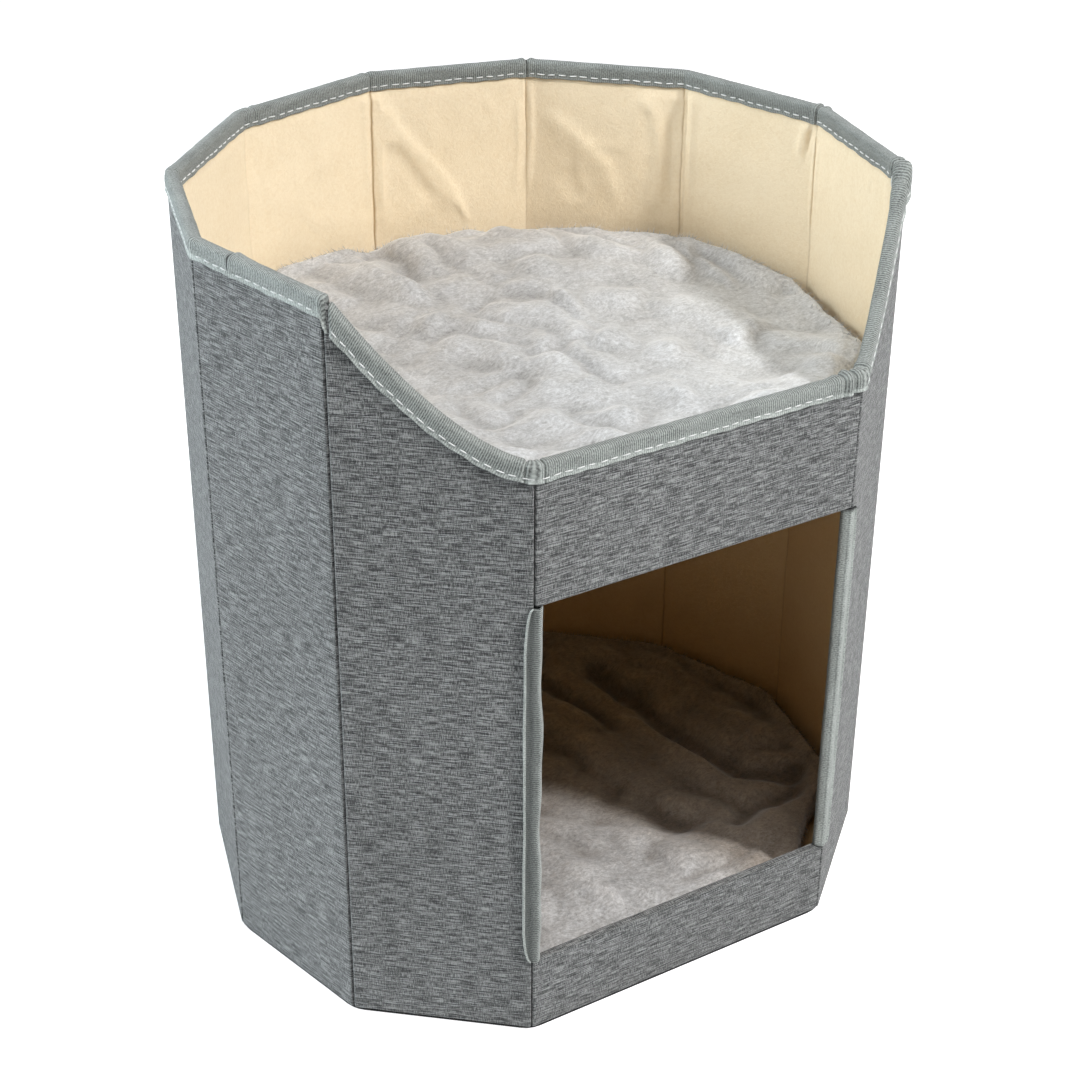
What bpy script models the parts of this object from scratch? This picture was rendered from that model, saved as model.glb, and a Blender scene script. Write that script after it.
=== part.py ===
# Two-storey folding cat house: a ring of eleven cloth-covered board walls with a doorway in the wide front wall,
# a den on the base board, and an open bed on a shelf above it, each with a plush cushion.
# The ring is drawn on its fold lines, where the covers are sewn to the lining at the boards' inner side.
# Metres, +Z up, the doorway faces -Y, the origin is under the middle of the house on the floor.

import math

import bmesh
import bpy
from mathutils import Matrix, Vector

# The wall ring
SIDE_WALL = 0.100  # width of each narrow wall, fold to fold
FRONT_WALL = 0.200  # width of the wall with the doorway
WALLS_A_SIDE = 5  # narrow walls on the left and on the right
SHOULDER_TURN = math.radians(36.5)  # turn at the fold behind the first narrow wall
WALL_HEIGHT = 0.440  # rim of the back and side walls
FRONT_HEIGHT = 0.360  # rim of the front wall
RIM_SWEEP = 1.6  # how steeply the rim falls along the first narrow wall
SILL_HEIGHT = 0.050  # lower edge of the doorway
DOOR_TOP = 0.278  # upper edge of the doorway

# Sheet thicknesses
BOARD = 0.0032
COVER_CLOTH = 0.0008
LINING_CLOTH = 0.0006
BINDING = 0.0008
BOTTOM_CLOTH = 0.0010

# Clearances
TOUCH_GAP = 0.0003  # between pieces that lie on each other
FOLD_GAP = 0.0004  # between neighbouring covers at a fold
BOARD_PLAY = 0.0010  # between a wall's board and the turned edges of its cover
LIFT_GAP = 0.0008  # between the shelf's edge and the loop patches that it passes

# Binding tape
BINDING_REACH = 0.0105  # how far it comes down on each side of an edge
RIM_ROUND = 0.0030  # height of its rounded fold above the edge that it binds
JAMB_STAND = 0.0040  # how far the doorway tape stands beyond the fold, over the side wall's free edge
JAMB_TAPER_TOP = 0.036  # height over which its legs narrow towards the header
JAMB_TAPER_FOOT = 0.010  # the same towards the sill
JAMB_TIP = 0.20  # share of the legs that is left at its ends

# Cover edges
PANEL_EDGE = 0.0016  # rounding where the cover cloth turns over a board's edge
PANEL_CORNER = 0.003  # rounding of a panel's corners
BOTTOM_INSET = 0.0012  # bottom cloth's edge inside the outer face of the walls

# Shelf and base board
SHELF_TOP = 0.306  # top of the covered shelf
INNER_BOARD = 0.0035  # thickness of the shelf board and of the base board
INNER_CORNER = 0.012  # corner rounding of both boards' covers
SHEET_EDGE = 0.0012  # rounding of their covers' upper edge

# Hook tabs and loop patches
HOOK_TAPE = 0.0010
TAB_WIDTH = 0.050
TAB_DROP = 0.018
TAB_FOOT = 0.012
PATCH_MARGIN = 0.002  # patch beyond the tab on each side
PATCH_CORNER = 0.003
TAB_WALLS = (2, 4)  # narrow walls that carry tabs, counted from the doorway on each side

# Cushions
CUSHION_GAP = 0.0025  # between a cushion's edge and the lining
CUSHION_THICK = 0.0305
CUSHION_SEAM = 0.011  # height of the seam that runs round it
CUSHION_ROLL = 0.009  # width of the rounded edge
CUSHION_CROWN = 0.0025  # how much higher the middle is than the edge
CUSHION_DRAW = 0.003  # how far the edge is drawn in between the folds
CUSHION_RINGS = (2, 4, 6.5, 9.5, 13)  # rings of points on the crown, in rolls from the edge
CUSHION_TUCK = 0.15  # how far the rounded edge draws in above and below its seam, in rolls
EDGE_MOUNDS = 0.4  # share of the mounds that is left at the rounded edge
MOUND_HEIGHT = 0.0030  # how high the soft mounds of the filling stand over the valleys between them
MOUND_STEP = 0.086  # from one mound to the next
MOUND_VALLEY = 0.006  # how far from the middle the first valley lies
MOUND_LENGTH = 0.220  # along a mound, over which it bends to and fro
MOUND_BEND = 0.7  # how far it bends, in radians of the next mound
MOUND_HEADING = math.radians(-83.0)  # direction of the mounds in plan

WALL_DEPTH = TOUCH_GAP + BOARD + TOUCH_GAP + COVER_CLOTH
LINING_FACE = TOUCH_GAP + LINING_CLOTH
BINDING_OUT = WALL_DEPTH + TOUCH_GAP + BINDING / 2
BINDING_IN = LINING_FACE + TOUCH_GAP + BINDING / 2
PATCH_FACE = LINING_FACE + TOUCH_GAP + HOOK_TAPE
SHELF_INSET = PATCH_FACE + LIFT_GAP
WALL_FOOT = BOTTOM_CLOTH + TOUCH_GAP


def clear_scene():
    for old in list(bpy.data.objects):
        bpy.data.objects.remove(old, do_unlink=True)


def side_chain(front_turn):
    # The right half of the plan as directions: the doorway fold, the shoulder fold, then equal folds to the back
    back_turn = (math.pi - front_turn - SHOULDER_TURN) / (WALLS_A_SIDE - 1.5)
    turns = [front_turn, SHOULDER_TURN] + [back_turn] * (WALLS_A_SIDE - 2)
    corner = Vector((FRONT_WALL / 2, 0.0))
    corners = [corner]
    heading = 0.0
    for turn in turns:
        heading += turn
        corner = corner + SIDE_WALL * Vector((math.cos(heading), math.sin(heading)))
        corners.append(corner)
    return corners


def closed_half():
    # The doorway fold turns just enough for the two sides to meet on the middle line
    low, high = 0.0, math.pi / 2
    for _ in range(60):
        middle = (low + high) / 2
        if side_chain(middle)[-1].x > 0:
            low = middle
        else:
            high = middle
    return side_chain((low + high) / 2)


def plan_folds():
    # All the folds, counterclockwise from the left end of the front wall
    half = closed_half()
    half[-1] = Vector((0.0, half[-1].y))
    left = [Vector((-fold.x, fold.y)) for fold in half[:-1]]
    folds = [left[0]] + half + left[:0:-1]
    front = -(BINDING_OUT + BINDING / 2)
    back_turn = (folds[WALLS_A_SIDE + 1] - folds[WALLS_A_SIDE]).angle(Vector((-1.0, 0.0)))
    back = half[-1].y - front / math.cos(back_turn)
    middle = Vector((0.0, (front + back) / 2))
    return [fold - middle for fold in folds]


class Wall:
    # One wall between two folds. Its own X runs along it, its Y up and its Z outward.
    def __init__(self, name, start, end):
        self.name = name
        self.start = start
        self.end = end
        self.length = (end - start).length
        self.along = (end - start).normalized()
        self.outward = Vector((self.along.y, -self.along.x))

    def frame(self, offset=0.0):
        spot = self.start + self.outward * offset
        matrix = Matrix.Identity(4)
        matrix.col[0][:3] = (self.along.x, self.along.y, 0.0)
        matrix.col[1][:3] = (0.0, 0.0, 1.0)
        matrix.col[2][:3] = (self.outward.x, self.outward.y, 0.0)
        matrix.col[3][:3] = (spot.x, spot.y, 0.0)
        return matrix

    def rise(self, u):
        # Share of the way from the front rim up to the full height, 0 to 1
        if self.name == "front":
            return 0.0
        if self.name == "right_1":
            return (max(u, 0.0) / self.length) ** RIM_SWEEP
        if self.name == "left_1":
            return (max(self.length - u, 0.0) / self.length) ** RIM_SWEEP
        return 1.0

    def rim(self, u):
        return FRONT_HEIGHT + (WALL_HEIGHT - FRONT_HEIGHT) * self.rise(u)

    def slope_length(self, u):
        # Length of rim for each metre of wall, 1 where the rim is level
        step = self.length / 100
        low = max(u - step, 0.0)
        high = min(u + step, self.length)
        return math.hypot(1.0, (self.rim(high) - self.rim(low)) / (high - low))

    def stations(self):
        if self.name not in ("left_1", "right_1"):
            return [0.0, self.length]
        steps = 11
        return [self.length * k / steps for k in range(steps + 1)]

    def top_line(self, inset, drop):
        # The line a drop below the rim, left to right, as (u, height)
        inner = [u for u in self.stations() if inset < u < self.length - inset]
        line = []
        for u in [inset] + inner + [self.length - inset]:
            line.append((u, self.rim(u) - drop * self.slope_length(u)))
        return line


def make_walls(folds):
    names = ["front"]
    names += [f"right_{k + 1}" for k in range(WALLS_A_SIDE)]
    names += [f"left_{WALLS_A_SIDE - k}" for k in range(WALLS_A_SIDE)]
    walls = []
    for k, name in enumerate(names):
        walls.append(Wall(name, folds[k], folds[(k + 1) % len(folds)]))
    return walls


def mitre(folds, k, distance):
    # Fold k moved outward so that both its walls move by the distance
    before = (folds[k] - folds[k - 1]).normalized()
    after = (folds[(k + 1) % len(folds)] - folds[k]).normalized()
    out_before = Vector((before.y, -before.x))
    out_after = Vector((after.y, -after.x))
    return folds[k] + (out_before + out_after) * (distance / (1.0 + out_before.dot(out_after)))


def ring(folds, distance, corner):
    # The plan moved inward by the distance, with its corners rounded
    points = [tuple(mitre(folds, k, -distance)) for k in range(len(folds))]
    return rounded(points, range(len(points)), corner)


def add_object(name, data, colour, roughness, matrix=None):
    obj = bpy.data.objects.new(name, data)
    house.objects.link(obj)
    if matrix is not None:
        obj.matrix_world = matrix
    finish = bpy.data.materials.new(name)
    finish.use_nodes = True
    shader = finish.node_tree.nodes["Principled BSDF"]
    shader.inputs["Base Color"].default_value = (*colour, 1.0)
    shader.inputs["Roughness"].default_value = roughness
    shader.inputs["Metallic"].default_value = 0.0
    data.materials.append(finish)
    return obj


def mesh_from(name, vertices, faces):
    mesh = bpy.data.meshes.new(name)
    mesh.from_pydata([tuple(v) for v in vertices], [], faces)
    mesh.validate()
    return mesh


def solidify(obj, thickness, offset):
    modifier = obj.modifiers.new("Thickness", "SOLIDIFY")
    modifier.thickness = thickness
    modifier.offset = offset
    modifier.use_even_offset = True


def bevel(obj, width, segments, angle=50):
    modifier = obj.modifiers.new("Edges", "BEVEL")
    modifier.width = width
    modifier.segments = segments
    modifier.limit_method = "ANGLE"
    modifier.angle_limit = math.radians(angle)


def flat_piece(name, outline, thickness, matrix, colour, roughness):
    # A sheet or board of the given outline, from the frame's XY plane upward along its Z
    curve = bpy.data.curves.new(name, "CURVE")
    curve.dimensions = "2D"
    curve.fill_mode = "BOTH"
    curve.extrude = thickness / 2
    spline = curve.splines.new("POLY")
    spline.points.add(len(outline) - 1)
    for point, (x, y) in zip(spline.points, outline):
        point.co = (x, y, 0.0, 1.0)
    spline.use_cyclic_u = True
    return add_object(name, curve, colour, roughness, matrix @ Matrix.Translation((0.0, 0.0, thickness / 2)))


def pan(name, turned, flat, closed, depth, thickness, rounding, matrix, colour, roughness):
    # A cloth turned over the edges of a board: an outline at the top of the depth, its edges turned down to zero.
    # Only the edges along the turned points are turned, and the one that closes them if closed is set. The flat
    # points are where the cloth runs on under the binding.
    mesh = bpy.data.meshes.new(name)
    shape = bmesh.new()
    corners = [shape.verts.new((x, y, depth)) for x, y in turned + flat]
    shape.faces.new(corners)
    ends = list(zip(corners[:len(turned)], corners[1:len(turned)]))
    if closed:
        ends.append((corners[-1], corners[0]))
    hem = bmesh.ops.extrude_edge_only(shape, edges=[shape.edges.get(pair) for pair in ends])
    for item in hem["geom"]:
        if isinstance(item, bmesh.types.BMVert):
            item.co.z = 0.0
    bmesh.ops.recalc_face_normals(shape, faces=shape.faces)
    top = max(shape.faces, key=lambda face: face.calc_center_median().z)
    if top.normal.z < 0:
        bmesh.ops.reverse_faces(shape, faces=shape.faces)
    shape.to_mesh(mesh)
    shape.free()
    obj = add_object(name, mesh, colour, roughness, matrix)
    bevel(obj, rounding, 2)
    solidify(obj, thickness, -1.0)
    return obj


def rounded(line, numbers, radius, steps=3):
    # The line of points with the numbered corners turned into arcs
    result = []
    for k, (x, y) in enumerate(line):
        point = Vector((x, y))
        if k not in numbers:
            result.append((x, y))
            continue
        before = (Vector(line[k - 1]) - point).normalized() * radius
        after = (Vector(line[(k + 1) % len(line)]) - point).normalized() * radius
        for step in range(steps + 1):
            t = step / steps
            result.append(tuple(point + before * (1 - t) ** 2 + after * t ** 2))
    return result


def strip(name, path, width, thickness, matrix, colour, roughness):
    # A tape of the given width bent along a path in its frame's YZ plane, centred on X = 0
    vertices = []
    for y, z in path:
        vertices += [(-width / 2, y, z), (width / 2, y, z)]
    faces = [(2 * k, 2 * k + 1, 2 * k + 3, 2 * k + 2) for k in range(len(path) - 1)]
    obj = add_object(name, mesh_from(name, vertices, faces), colour, roughness, matrix)
    solidify(obj, thickness, 0.0)
    return obj


GREY_CLOTH = (0.19, 0.20, 0.21)
CREAM_CLOTH = (0.80, 0.64, 0.44)
GREY_BOARD = (0.36, 0.31, 0.25)
TAPE_GREY = (0.27, 0.30, 0.28)
BLACK_CLOTH = (0.02, 0.02, 0.02)
PLUSH = (0.62, 0.62, 0.63)


def panel_outline(wall, inset, foot, top):
    # (turned points, flat points) of a wall's cover or board. With no top given it runs up under the rim tape
    near, far = inset, wall.length - inset
    if top is None:
        line = wall.top_line(inset, RIM_ROUND)
        return rounded([line[0], (near, foot), (far, foot), line[-1]], (1, 2), PANEL_CORNER), line[-2:0:-1]
    corners = [(near, top), (near, foot), (far, foot), (far, top)]
    return rounded(corners, range(4), PANEL_CORNER), []


def build_panel(cover, board, wall, foot, top=None):
    # A stiff board in its cloth cover
    half_gap = FOLD_GAP / 2
    hem = COVER_CLOTH + BOARD_PLAY
    closed = top is not None
    turned, flat = panel_outline(wall, half_gap, foot, top)
    pan(cover, turned, flat, closed, WALL_DEPTH, COVER_CLOTH, PANEL_EDGE, wall.frame(), GREY_CLOTH, 0.9)
    turned, flat = panel_outline(wall, half_gap + hem, foot + hem, top - hem if closed else None)
    flat_piece(board, turned + flat, BOARD, wall.frame(TOUCH_GAP), GREY_BOARD, 0.8)


def ring_columns(walls, folds):
    # Every station of the rim once, as (wall, fold number or None, u)
    columns = []
    for k, wall in enumerate(walls):
        for u in wall.stations()[:-1]:
            columns.append((wall, k if u == 0.0 else None, u))
    return columns


def column_point(folds, column, offset):
    # The plan point of a column, moved outward by the offset
    wall, fold, u = column
    if fold is not None:
        return mitre(folds, fold, offset)
    return wall.start + wall.along * u + wall.outward * offset


def column_slope(walls, column):
    # At a fold the rim's slope is shared between the two walls that meet there
    wall, fold, u = column
    if fold is None:
        return wall.slope_length(u)
    before = walls[fold - 1]
    return (before.slope_length(before.length) + wall.slope_length(0.0)) / 2


def build_lining(walls, folds):
    # One sheet round the whole ring with the doorway left open, sewn to the walls at the folds
    columns = ring_columns(walls, folds)
    vertices = []
    for column in columns:
        point = column_point(folds, column, -(TOUCH_GAP + LINING_CLOTH / 2))
        top = column[0].rim(column[2]) - RIM_ROUND * column_slope(walls, column)
        for height in (WALL_FOOT, SILL_HEIGHT, DOOR_TOP, top):
            vertices.append((point.x, point.y, height))
    faces = []
    for k in range(len(columns)):
        after = (k + 1) % len(columns)
        for row in range(3):
            in_doorway = columns[k][0].name == "front" and row == 1
            if not in_doorway:
                faces.append((4 * k + row, 4 * after + row, 4 * after + row + 1, 4 * k + row + 1))
    lining = add_object("lining", mesh_from("lining", vertices, faces), CREAM_CLOTH, 0.95)
    solidify(lining, LINING_CLOTH, 0.0)


def rim_section(scale):
    # Half-round top with a leg down each side, outside to inside, as (offset outward, height under the rim)
    middle = (BINDING_OUT - BINDING_IN) / 2
    half = (BINDING_OUT + BINDING_IN) / 2
    reach = BINDING_REACH * scale
    spring = RIM_ROUND * scale
    crest = BINDING / 2 * scale
    steps = 6
    section = [(BINDING_OUT, reach)]
    for step in range(steps + 1):
        angle = math.pi * step / steps
        section.append((middle + half * math.cos(angle), spring - (spring - crest) * math.sin(angle)))
    section.append((-BINDING_IN, reach))
    return section


def build_rim_tape(walls, folds):
    # The tape folded over the rim: its section is carried round the ring, mitred at each fold and made
    # taller where the rim slopes, so that it keeps its width square to the edge
    columns = ring_columns(walls, folds)
    vertices = []
    for column in columns:
        rim = column[0].rim(column[2])
        for offset, drop in rim_section(column_slope(walls, column)):
            point = column_point(folds, column, offset)
            vertices.append((point.x, point.y, rim - drop))
    across = len(rim_section(1.0))
    faces = []
    for k in range(len(columns)):
        after = (k + 1) % len(columns)
        for row in range(across - 1):
            faces.append((across * k + row, across * after + row, across * after + row + 1, across * k + row + 1))
    tape = add_object("rim_tape", mesh_from("rim_tape", vertices, faces), TAPE_GREY, 0.85)
    solidify(tape, BINDING, 0.0)


def build_doorway_tape(name, wall, fold, back):
    # The tape folded over a side wall's free edge beside the doorway. Its legs narrow towards both ends.
    # The fold is the wall's end at the doorway, and back the direction along the wall away from it
    bottom = SILL_HEIGHT + TOUCH_GAP
    top = DOOR_TOP - TOUCH_GAP
    rows = 14
    vertices = []
    for row in range(rows + 1):
        swing = math.cos(math.pi * row / rows)
        height = (bottom + top) / 2 - (top - bottom) / 2 * swing
        from_end = min((height - bottom) / JAMB_TAPER_FOOT, (top - height) / JAMB_TAPER_TOP, 1.0)
        share = JAMB_TIP + (1 - JAMB_TIP) * math.sqrt(max(0.0, 1 - (1 - from_end) ** 2))
        for offset, drop in rim_section(1.0):
            leg = max(drop - RIM_ROUND, 0.0)
            along = drop - leg * (1 - share) - JAMB_STAND
            point = fold + back * along + wall.outward * offset
            vertices.append((point.x, point.y, height))
    across = len(rim_section(1.0))
    faces = []
    for row in range(rows):
        for column in range(across - 1):
            a = row * across + column
            faces.append((a, a + 1, a + across + 1, a + across))
    tape = add_object(name, mesh_from(name, vertices, faces), TAPE_GREY, 0.85)
    solidify(tape, BINDING, 0.0)


def build_bottom_cloth(folds):
    outline = ring(folds, BOTTOM_INSET - WALL_DEPTH, INNER_CORNER / 2)
    flat_piece("bottom_cloth", outline, BOTTOM_CLOTH, Matrix.Identity(4), BLACK_CLOTH, 0.95)


def covered_board(board_name, cover_name, folds, top):
    # A board with its cloth turned down over the edges; returns the height of the underside of both
    depth = COVER_CLOTH + TOUCH_GAP + INNER_BOARD
    level = Matrix.Translation((0.0, 0.0, top - depth))
    outline = ring(folds, SHELF_INSET, INNER_CORNER)
    pan(cover_name, outline, [], True, depth, COVER_CLOTH, SHEET_EDGE, level, CREAM_CLOTH, 0.95)
    inset = SHELF_INSET + COVER_CLOTH + TOUCH_GAP
    flat_piece(board_name, ring(folds, inset, INNER_CORNER), INNER_BOARD, level, GREY_BOARD, 0.8)
    return top - depth


def build_shelf(walls, folds):
    underside = covered_board("shelf_board", "shelf_top_cover", folds, SHELF_TOP)
    under_cloth = underside - TOUCH_GAP - LINING_CLOTH
    level = Matrix.Translation((0.0, 0.0, under_cloth))
    flat_piece("shelf_under_cloth", ring(folds, SHELF_INSET, INNER_CORNER), LINING_CLOTH, level, CREAM_CLOTH, 0.95)
    tab_top = under_cloth - TOUCH_GAP - HOOK_TAPE / 2
    tab_face = PATCH_FACE + TOUCH_GAP + HOOK_TAPE / 2
    bend = HOOK_TAPE
    path = [(tab_top - TAB_DROP, -tab_face), (tab_top - bend, -tab_face)]
    path += [(tab_top, -tab_face - bend), (tab_top, -tab_face - TAB_FOOT)]
    patch_middle = tab_top - TAB_DROP / 2
    for wall in walls:
        side, _, number = wall.name.partition("_")
        if side != "front" and int(number) not in TAB_WALLS:
            continue
        middle = wall.frame() @ Matrix.Translation((wall.length / 2, 0.0, 0.0))
        strip(f"shelf_tab_{wall.name}", path, TAB_WIDTH, HOOK_TAPE, middle, BLACK_CLOTH, 0.9)
        half_width = TAB_WIDTH / 2 + PATCH_MARGIN
        half_height = TAB_DROP / 2
        corners = [(-half_width, -half_height), (half_width, -half_height), (half_width, half_height)]
        corners.append((-half_width, half_height))
        patch = rounded(corners, range(4), PATCH_CORNER)
        place = middle @ Matrix.Translation((0.0, patch_middle, -PATCH_FACE))
        flat_piece(f"loop_patch_{wall.name}", patch, HOOK_TAPE, place, BLACK_CLOTH, 0.95)


def build_base(folds):
    base_depth = COVER_CLOTH + TOUCH_GAP + INNER_BOARD
    base_top = BOTTOM_CLOTH + TOUCH_GAP + base_depth
    covered_board("base_board", "base_board_cover", folds, base_top)
    return base_top


def cushion_outline(folds, inset):
    # The plan moved inward, with a point at each fold and between, where the edge is drawn in
    centre = sum(folds, Vector((0.0, 0.0))) / len(folds)
    outline = []
    for k in range(len(folds)):
        following = (k + 1) % len(folds)
        start = mitre(folds, k, -inset)
        end = mitre(folds, following, -inset)
        spans = max(1, round((folds[following] - folds[k]).length / SIDE_WALL))
        for span in range(spans):
            outline.append(start.lerp(end, span / spans))
            between = start.lerp(end, (span + 0.5) / spans)
            outline.append(between + (centre - between).normalized() * CUSHION_DRAW)
    return outline


def mound(spot):
    # Height of the filling's soft mounds at a spot of the plan, from 0 in a valley to 1 on a mound
    along = spot.x * math.cos(MOUND_HEADING) + spot.y * math.sin(MOUND_HEADING)
    over = spot.y * math.cos(MOUND_HEADING) - spot.x * math.sin(MOUND_HEADING)
    bend = MOUND_BEND * math.sin(2 * math.pi * along / MOUND_LENGTH)
    return 0.5 - 0.5 * math.cos(2 * math.pi * (over - MOUND_VALLEY) / MOUND_STEP + bend)


def build_cushion(name, folds, floor):
    # A sewn pad: rings of points from the crown, over the rolled edge and its seam, to the flat underside.
    # Each ring is (distance in from the edge, height, share of the mounds)
    bottom = floor + TOUCH_GAP
    shoulder = CUSHION_THICK - CUSHION_CROWN
    roll = CUSHION_ROLL
    tuck = CUSHION_TUCK * roll
    rings = []
    for rolls in reversed(CUSHION_RINGS):
        crown = CUSHION_CROWN * (1 - (1 - rolls / CUSHION_RINGS[-1]) ** 2)
        rings.append((rolls * roll, shoulder + crown, 1.0))
    rings.append((roll, shoulder, EDGE_MOUNDS))
    rings += [(tuck, (shoulder + CUSHION_SEAM) / 2, 0.0), (0.0, CUSHION_SEAM, 0.0)]
    rings += [(tuck, CUSHION_SEAM / 3, 0.0), (roll, 0.0, 0.0), (CUSHION_RINGS[-1] * roll, 0.0, 0.0)]
    count = len(cushion_outline(folds, 0.0))
    centre = sum(folds, Vector((0.0, 0.0))) / len(folds)
    vertices = []
    for inward, height, share in rings:
        for spot in cushion_outline(folds, LINING_FACE + CUSHION_GAP + inward):
            sunk = share * MOUND_HEIGHT * (1 - mound(spot))
            vertices.append((spot.x, spot.y, bottom + height - sunk))
    faces = []
    for row in range(len(rings) - 1):
        upper, under = row * count, (row + 1) * count
        for k in range(count):
            after = (k + 1) % count
            faces.append((upper + k, under + k, under + after, upper + after))
    middle = len(vertices)
    vertices.append((centre.x, centre.y, bottom + CUSHION_THICK - MOUND_HEIGHT * (1 - mound(centre))))
    vertices.append((centre.x, centre.y, bottom))
    last = (len(rings) - 1) * count
    for k in range(0, count, 2):
        after = (k + 1) % count
        third = (k + 2) % count
        faces.append((middle, k, after, third))
        faces.append((middle + 1, last + third, last + after, last + k))
    cushion = add_object(name, mesh_from(name, vertices, faces), PLUSH, 1.0)
    soft = cushion.modifiers.new("Soft", "SUBSURF")
    soft.levels = 1
    soft.render_levels = 1


clear_scene()
house = bpy.data.collections.new("cat_house")
bpy.context.scene.collection.children.link(house)

folds = plan_folds()
walls = make_walls(folds)
for wall in walls:
    if wall.name == "front":
        build_panel("header_cover", "header_board", wall, DOOR_TOP)
        build_panel("sill_cover", "sill_board", wall, WALL_FOOT, SILL_HEIGHT)
    else:
        build_panel(f"wall_cover_{wall.name}", f"wall_board_{wall.name}", wall, WALL_FOOT)
build_lining(walls, folds)
build_rim_tape(walls, folds)
build_doorway_tape("doorway_tape_right", walls[1], walls[1].start, walls[1].along)
build_doorway_tape("doorway_tape_left", walls[-1], walls[-1].end, -walls[-1].along)
build_bottom_cloth(folds)
base_top = build_base(folds)
build_shelf(walls, folds)
build_cushion("lower_cushion", folds, base_top)
build_cushion("upper_cushion", folds, SHELF_TOP)

for obj in house.objects:
    if obj.type == "MESH":
        obj.data.shade_smooth()
        obj.data.set_sharp_from_angle(angle=math.radians(25))
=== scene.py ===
import math

import bmesh
import bpy
import numpy as np
from mathutils import Matrix, Vector


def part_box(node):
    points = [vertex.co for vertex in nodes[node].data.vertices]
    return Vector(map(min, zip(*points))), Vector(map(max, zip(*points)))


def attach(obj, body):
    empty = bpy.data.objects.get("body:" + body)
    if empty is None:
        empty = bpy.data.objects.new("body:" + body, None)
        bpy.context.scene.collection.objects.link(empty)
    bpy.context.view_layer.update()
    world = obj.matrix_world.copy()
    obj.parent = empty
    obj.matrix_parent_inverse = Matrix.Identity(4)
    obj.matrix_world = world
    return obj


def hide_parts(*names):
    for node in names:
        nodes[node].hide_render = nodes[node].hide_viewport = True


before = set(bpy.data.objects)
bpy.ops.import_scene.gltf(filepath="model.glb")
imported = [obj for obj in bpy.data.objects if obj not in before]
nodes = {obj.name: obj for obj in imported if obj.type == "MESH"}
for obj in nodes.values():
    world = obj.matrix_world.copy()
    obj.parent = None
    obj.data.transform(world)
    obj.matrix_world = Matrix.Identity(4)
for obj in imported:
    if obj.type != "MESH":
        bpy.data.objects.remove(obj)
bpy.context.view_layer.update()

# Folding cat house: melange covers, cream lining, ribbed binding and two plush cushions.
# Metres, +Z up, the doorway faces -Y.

scene = bpy.context.scene
tau = 2 * math.pi


# numbers and small helpers

def latticeNoise(points, seed):
    # smooth random values from -1 to 1, one for each point, with cells one unit wide
    cell = np.floor(points).astype(np.int64)
    part = points - cell
    ease = part * part * part * (part * (part * 6 - 15) + 10)
    total = np.zeros(len(points))
    for corner in range(8):
        step = np.array([corner & 1, corner >> 1 & 1, corner >> 2 & 1])
        at = cell + step
        mixed = at[:, 0] * 73856093 ^ at[:, 1] * 19349663 ^ at[:, 2] * 83492791 ^ (seed + 1) * 912931
        mixed = (mixed ^ mixed >> 13) * 1274126177 & 0xffffffff
        mixed = (mixed ^ mixed >> 15) * 2246822519 & 0xffffffff
        value = (mixed >> 8 & 0xffff) / 32767.5 - 1
        total += value * np.prod(np.where(step, ease, 1 - ease), axis=1)
    return total


def layeredNoise(points, seed, layers=3):
    total = np.zeros(len(points))
    size, weight = 1.0, 1.0
    for layer in range(layers):
        total += weight * latticeNoise(points * size, seed + 17 * layer)
        size *= 2.07
        weight *= 0.5
    return total


def smoothStep(low, high, value):
    t = np.clip((value - low) / (high - low), 0, 1)
    return t * t * (3 - 2 * t)


def bell(value, middle, width):
    return np.exp(-((value - middle) / width) ** 2)


def numbersOf(things, key, width=1, kind=np.int64):
    # one value or row of values for each of a mesh's vertices, edges, loops or faces
    flat = np.zeros(len(things) * width, kind)
    things.foreach_get(key, flat)
    return flat if width == 1 else flat.reshape(-1, width)


def addObject(name, data):
    obj = bpy.data.objects.new(name, data)
    scene.collection.objects.link(obj)
    return obj


def markPoints(obj, name, values):
    attribute = obj.data.attributes.new(name, "FLOAT", "POINT")
    attribute.data.foreach_set("value", values.astype(np.float32))


def setCloth(mesh, pairs):
    # the cloth coordinate of each face corner
    mesh.uv_layers.new(name="cloth").data.foreach_set("uv", pairs.astype(np.float32).ravel())


def gridObject(name, points, across, uv, roundTrip=None, skip=None):
    # points: rows of a grid, each row across long; uv gives one pair for each point
    # roundTrip closes each row to a ring and is the cloth coordinate's full length round it
    points, uv = np.asarray(points, float), np.asarray(uv, float)
    faces = []
    for row in range(len(points) // across - 1):
        for column in range(across if roundTrip else across - 1):
            if skip is not None and skip(row, column):
                continue
            after = (column + 1) % across
            a, b = row * across + column, row * across + after
            faces.append((a, b, b + across, a + across))
    mesh = bpy.data.meshes.new(name)
    mesh.from_pydata(points.tolist(), [], faces)
    flat = uv[numbersOf(mesh.loops, "vertex_index")]
    if roundTrip:
        # the last column meets the first one: carry its coordinate on
        jump = uv[:, 0].max() / 2
        for start in numbersOf(mesh.polygons, "loop_start"):
            four = flat[start:start + 4]
            if np.ptp(four[:, 0]) > jump:
                four[four[:, 0] < jump, 0] += roundTrip
    setCloth(mesh, flat)
    mesh.validate()
    return addObject(name, mesh)


def bridgeRings(bm, rings):
    # a closed skin over rings of equal count
    for a, b in zip(rings, rings[1:]):
        for k in range(len(a)):
            after = (k + 1) % len(a)
            bm.faces.new((a[k], a[after], b[after], b[k]))
    bm.faces.new(list(reversed(rings[0])))
    bm.faces.new(rings[-1])


def meshObject(name, bm):
    mesh = bpy.data.meshes.new(name)
    bm.to_mesh(mesh)
    bm.free()
    return addObject(name, mesh)


def thicken(obj, thickness, offset):
    wall = obj.modifiers.new("thickness", "SOLIDIFY")
    wall.thickness = thickness
    wall.offset = offset


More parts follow.
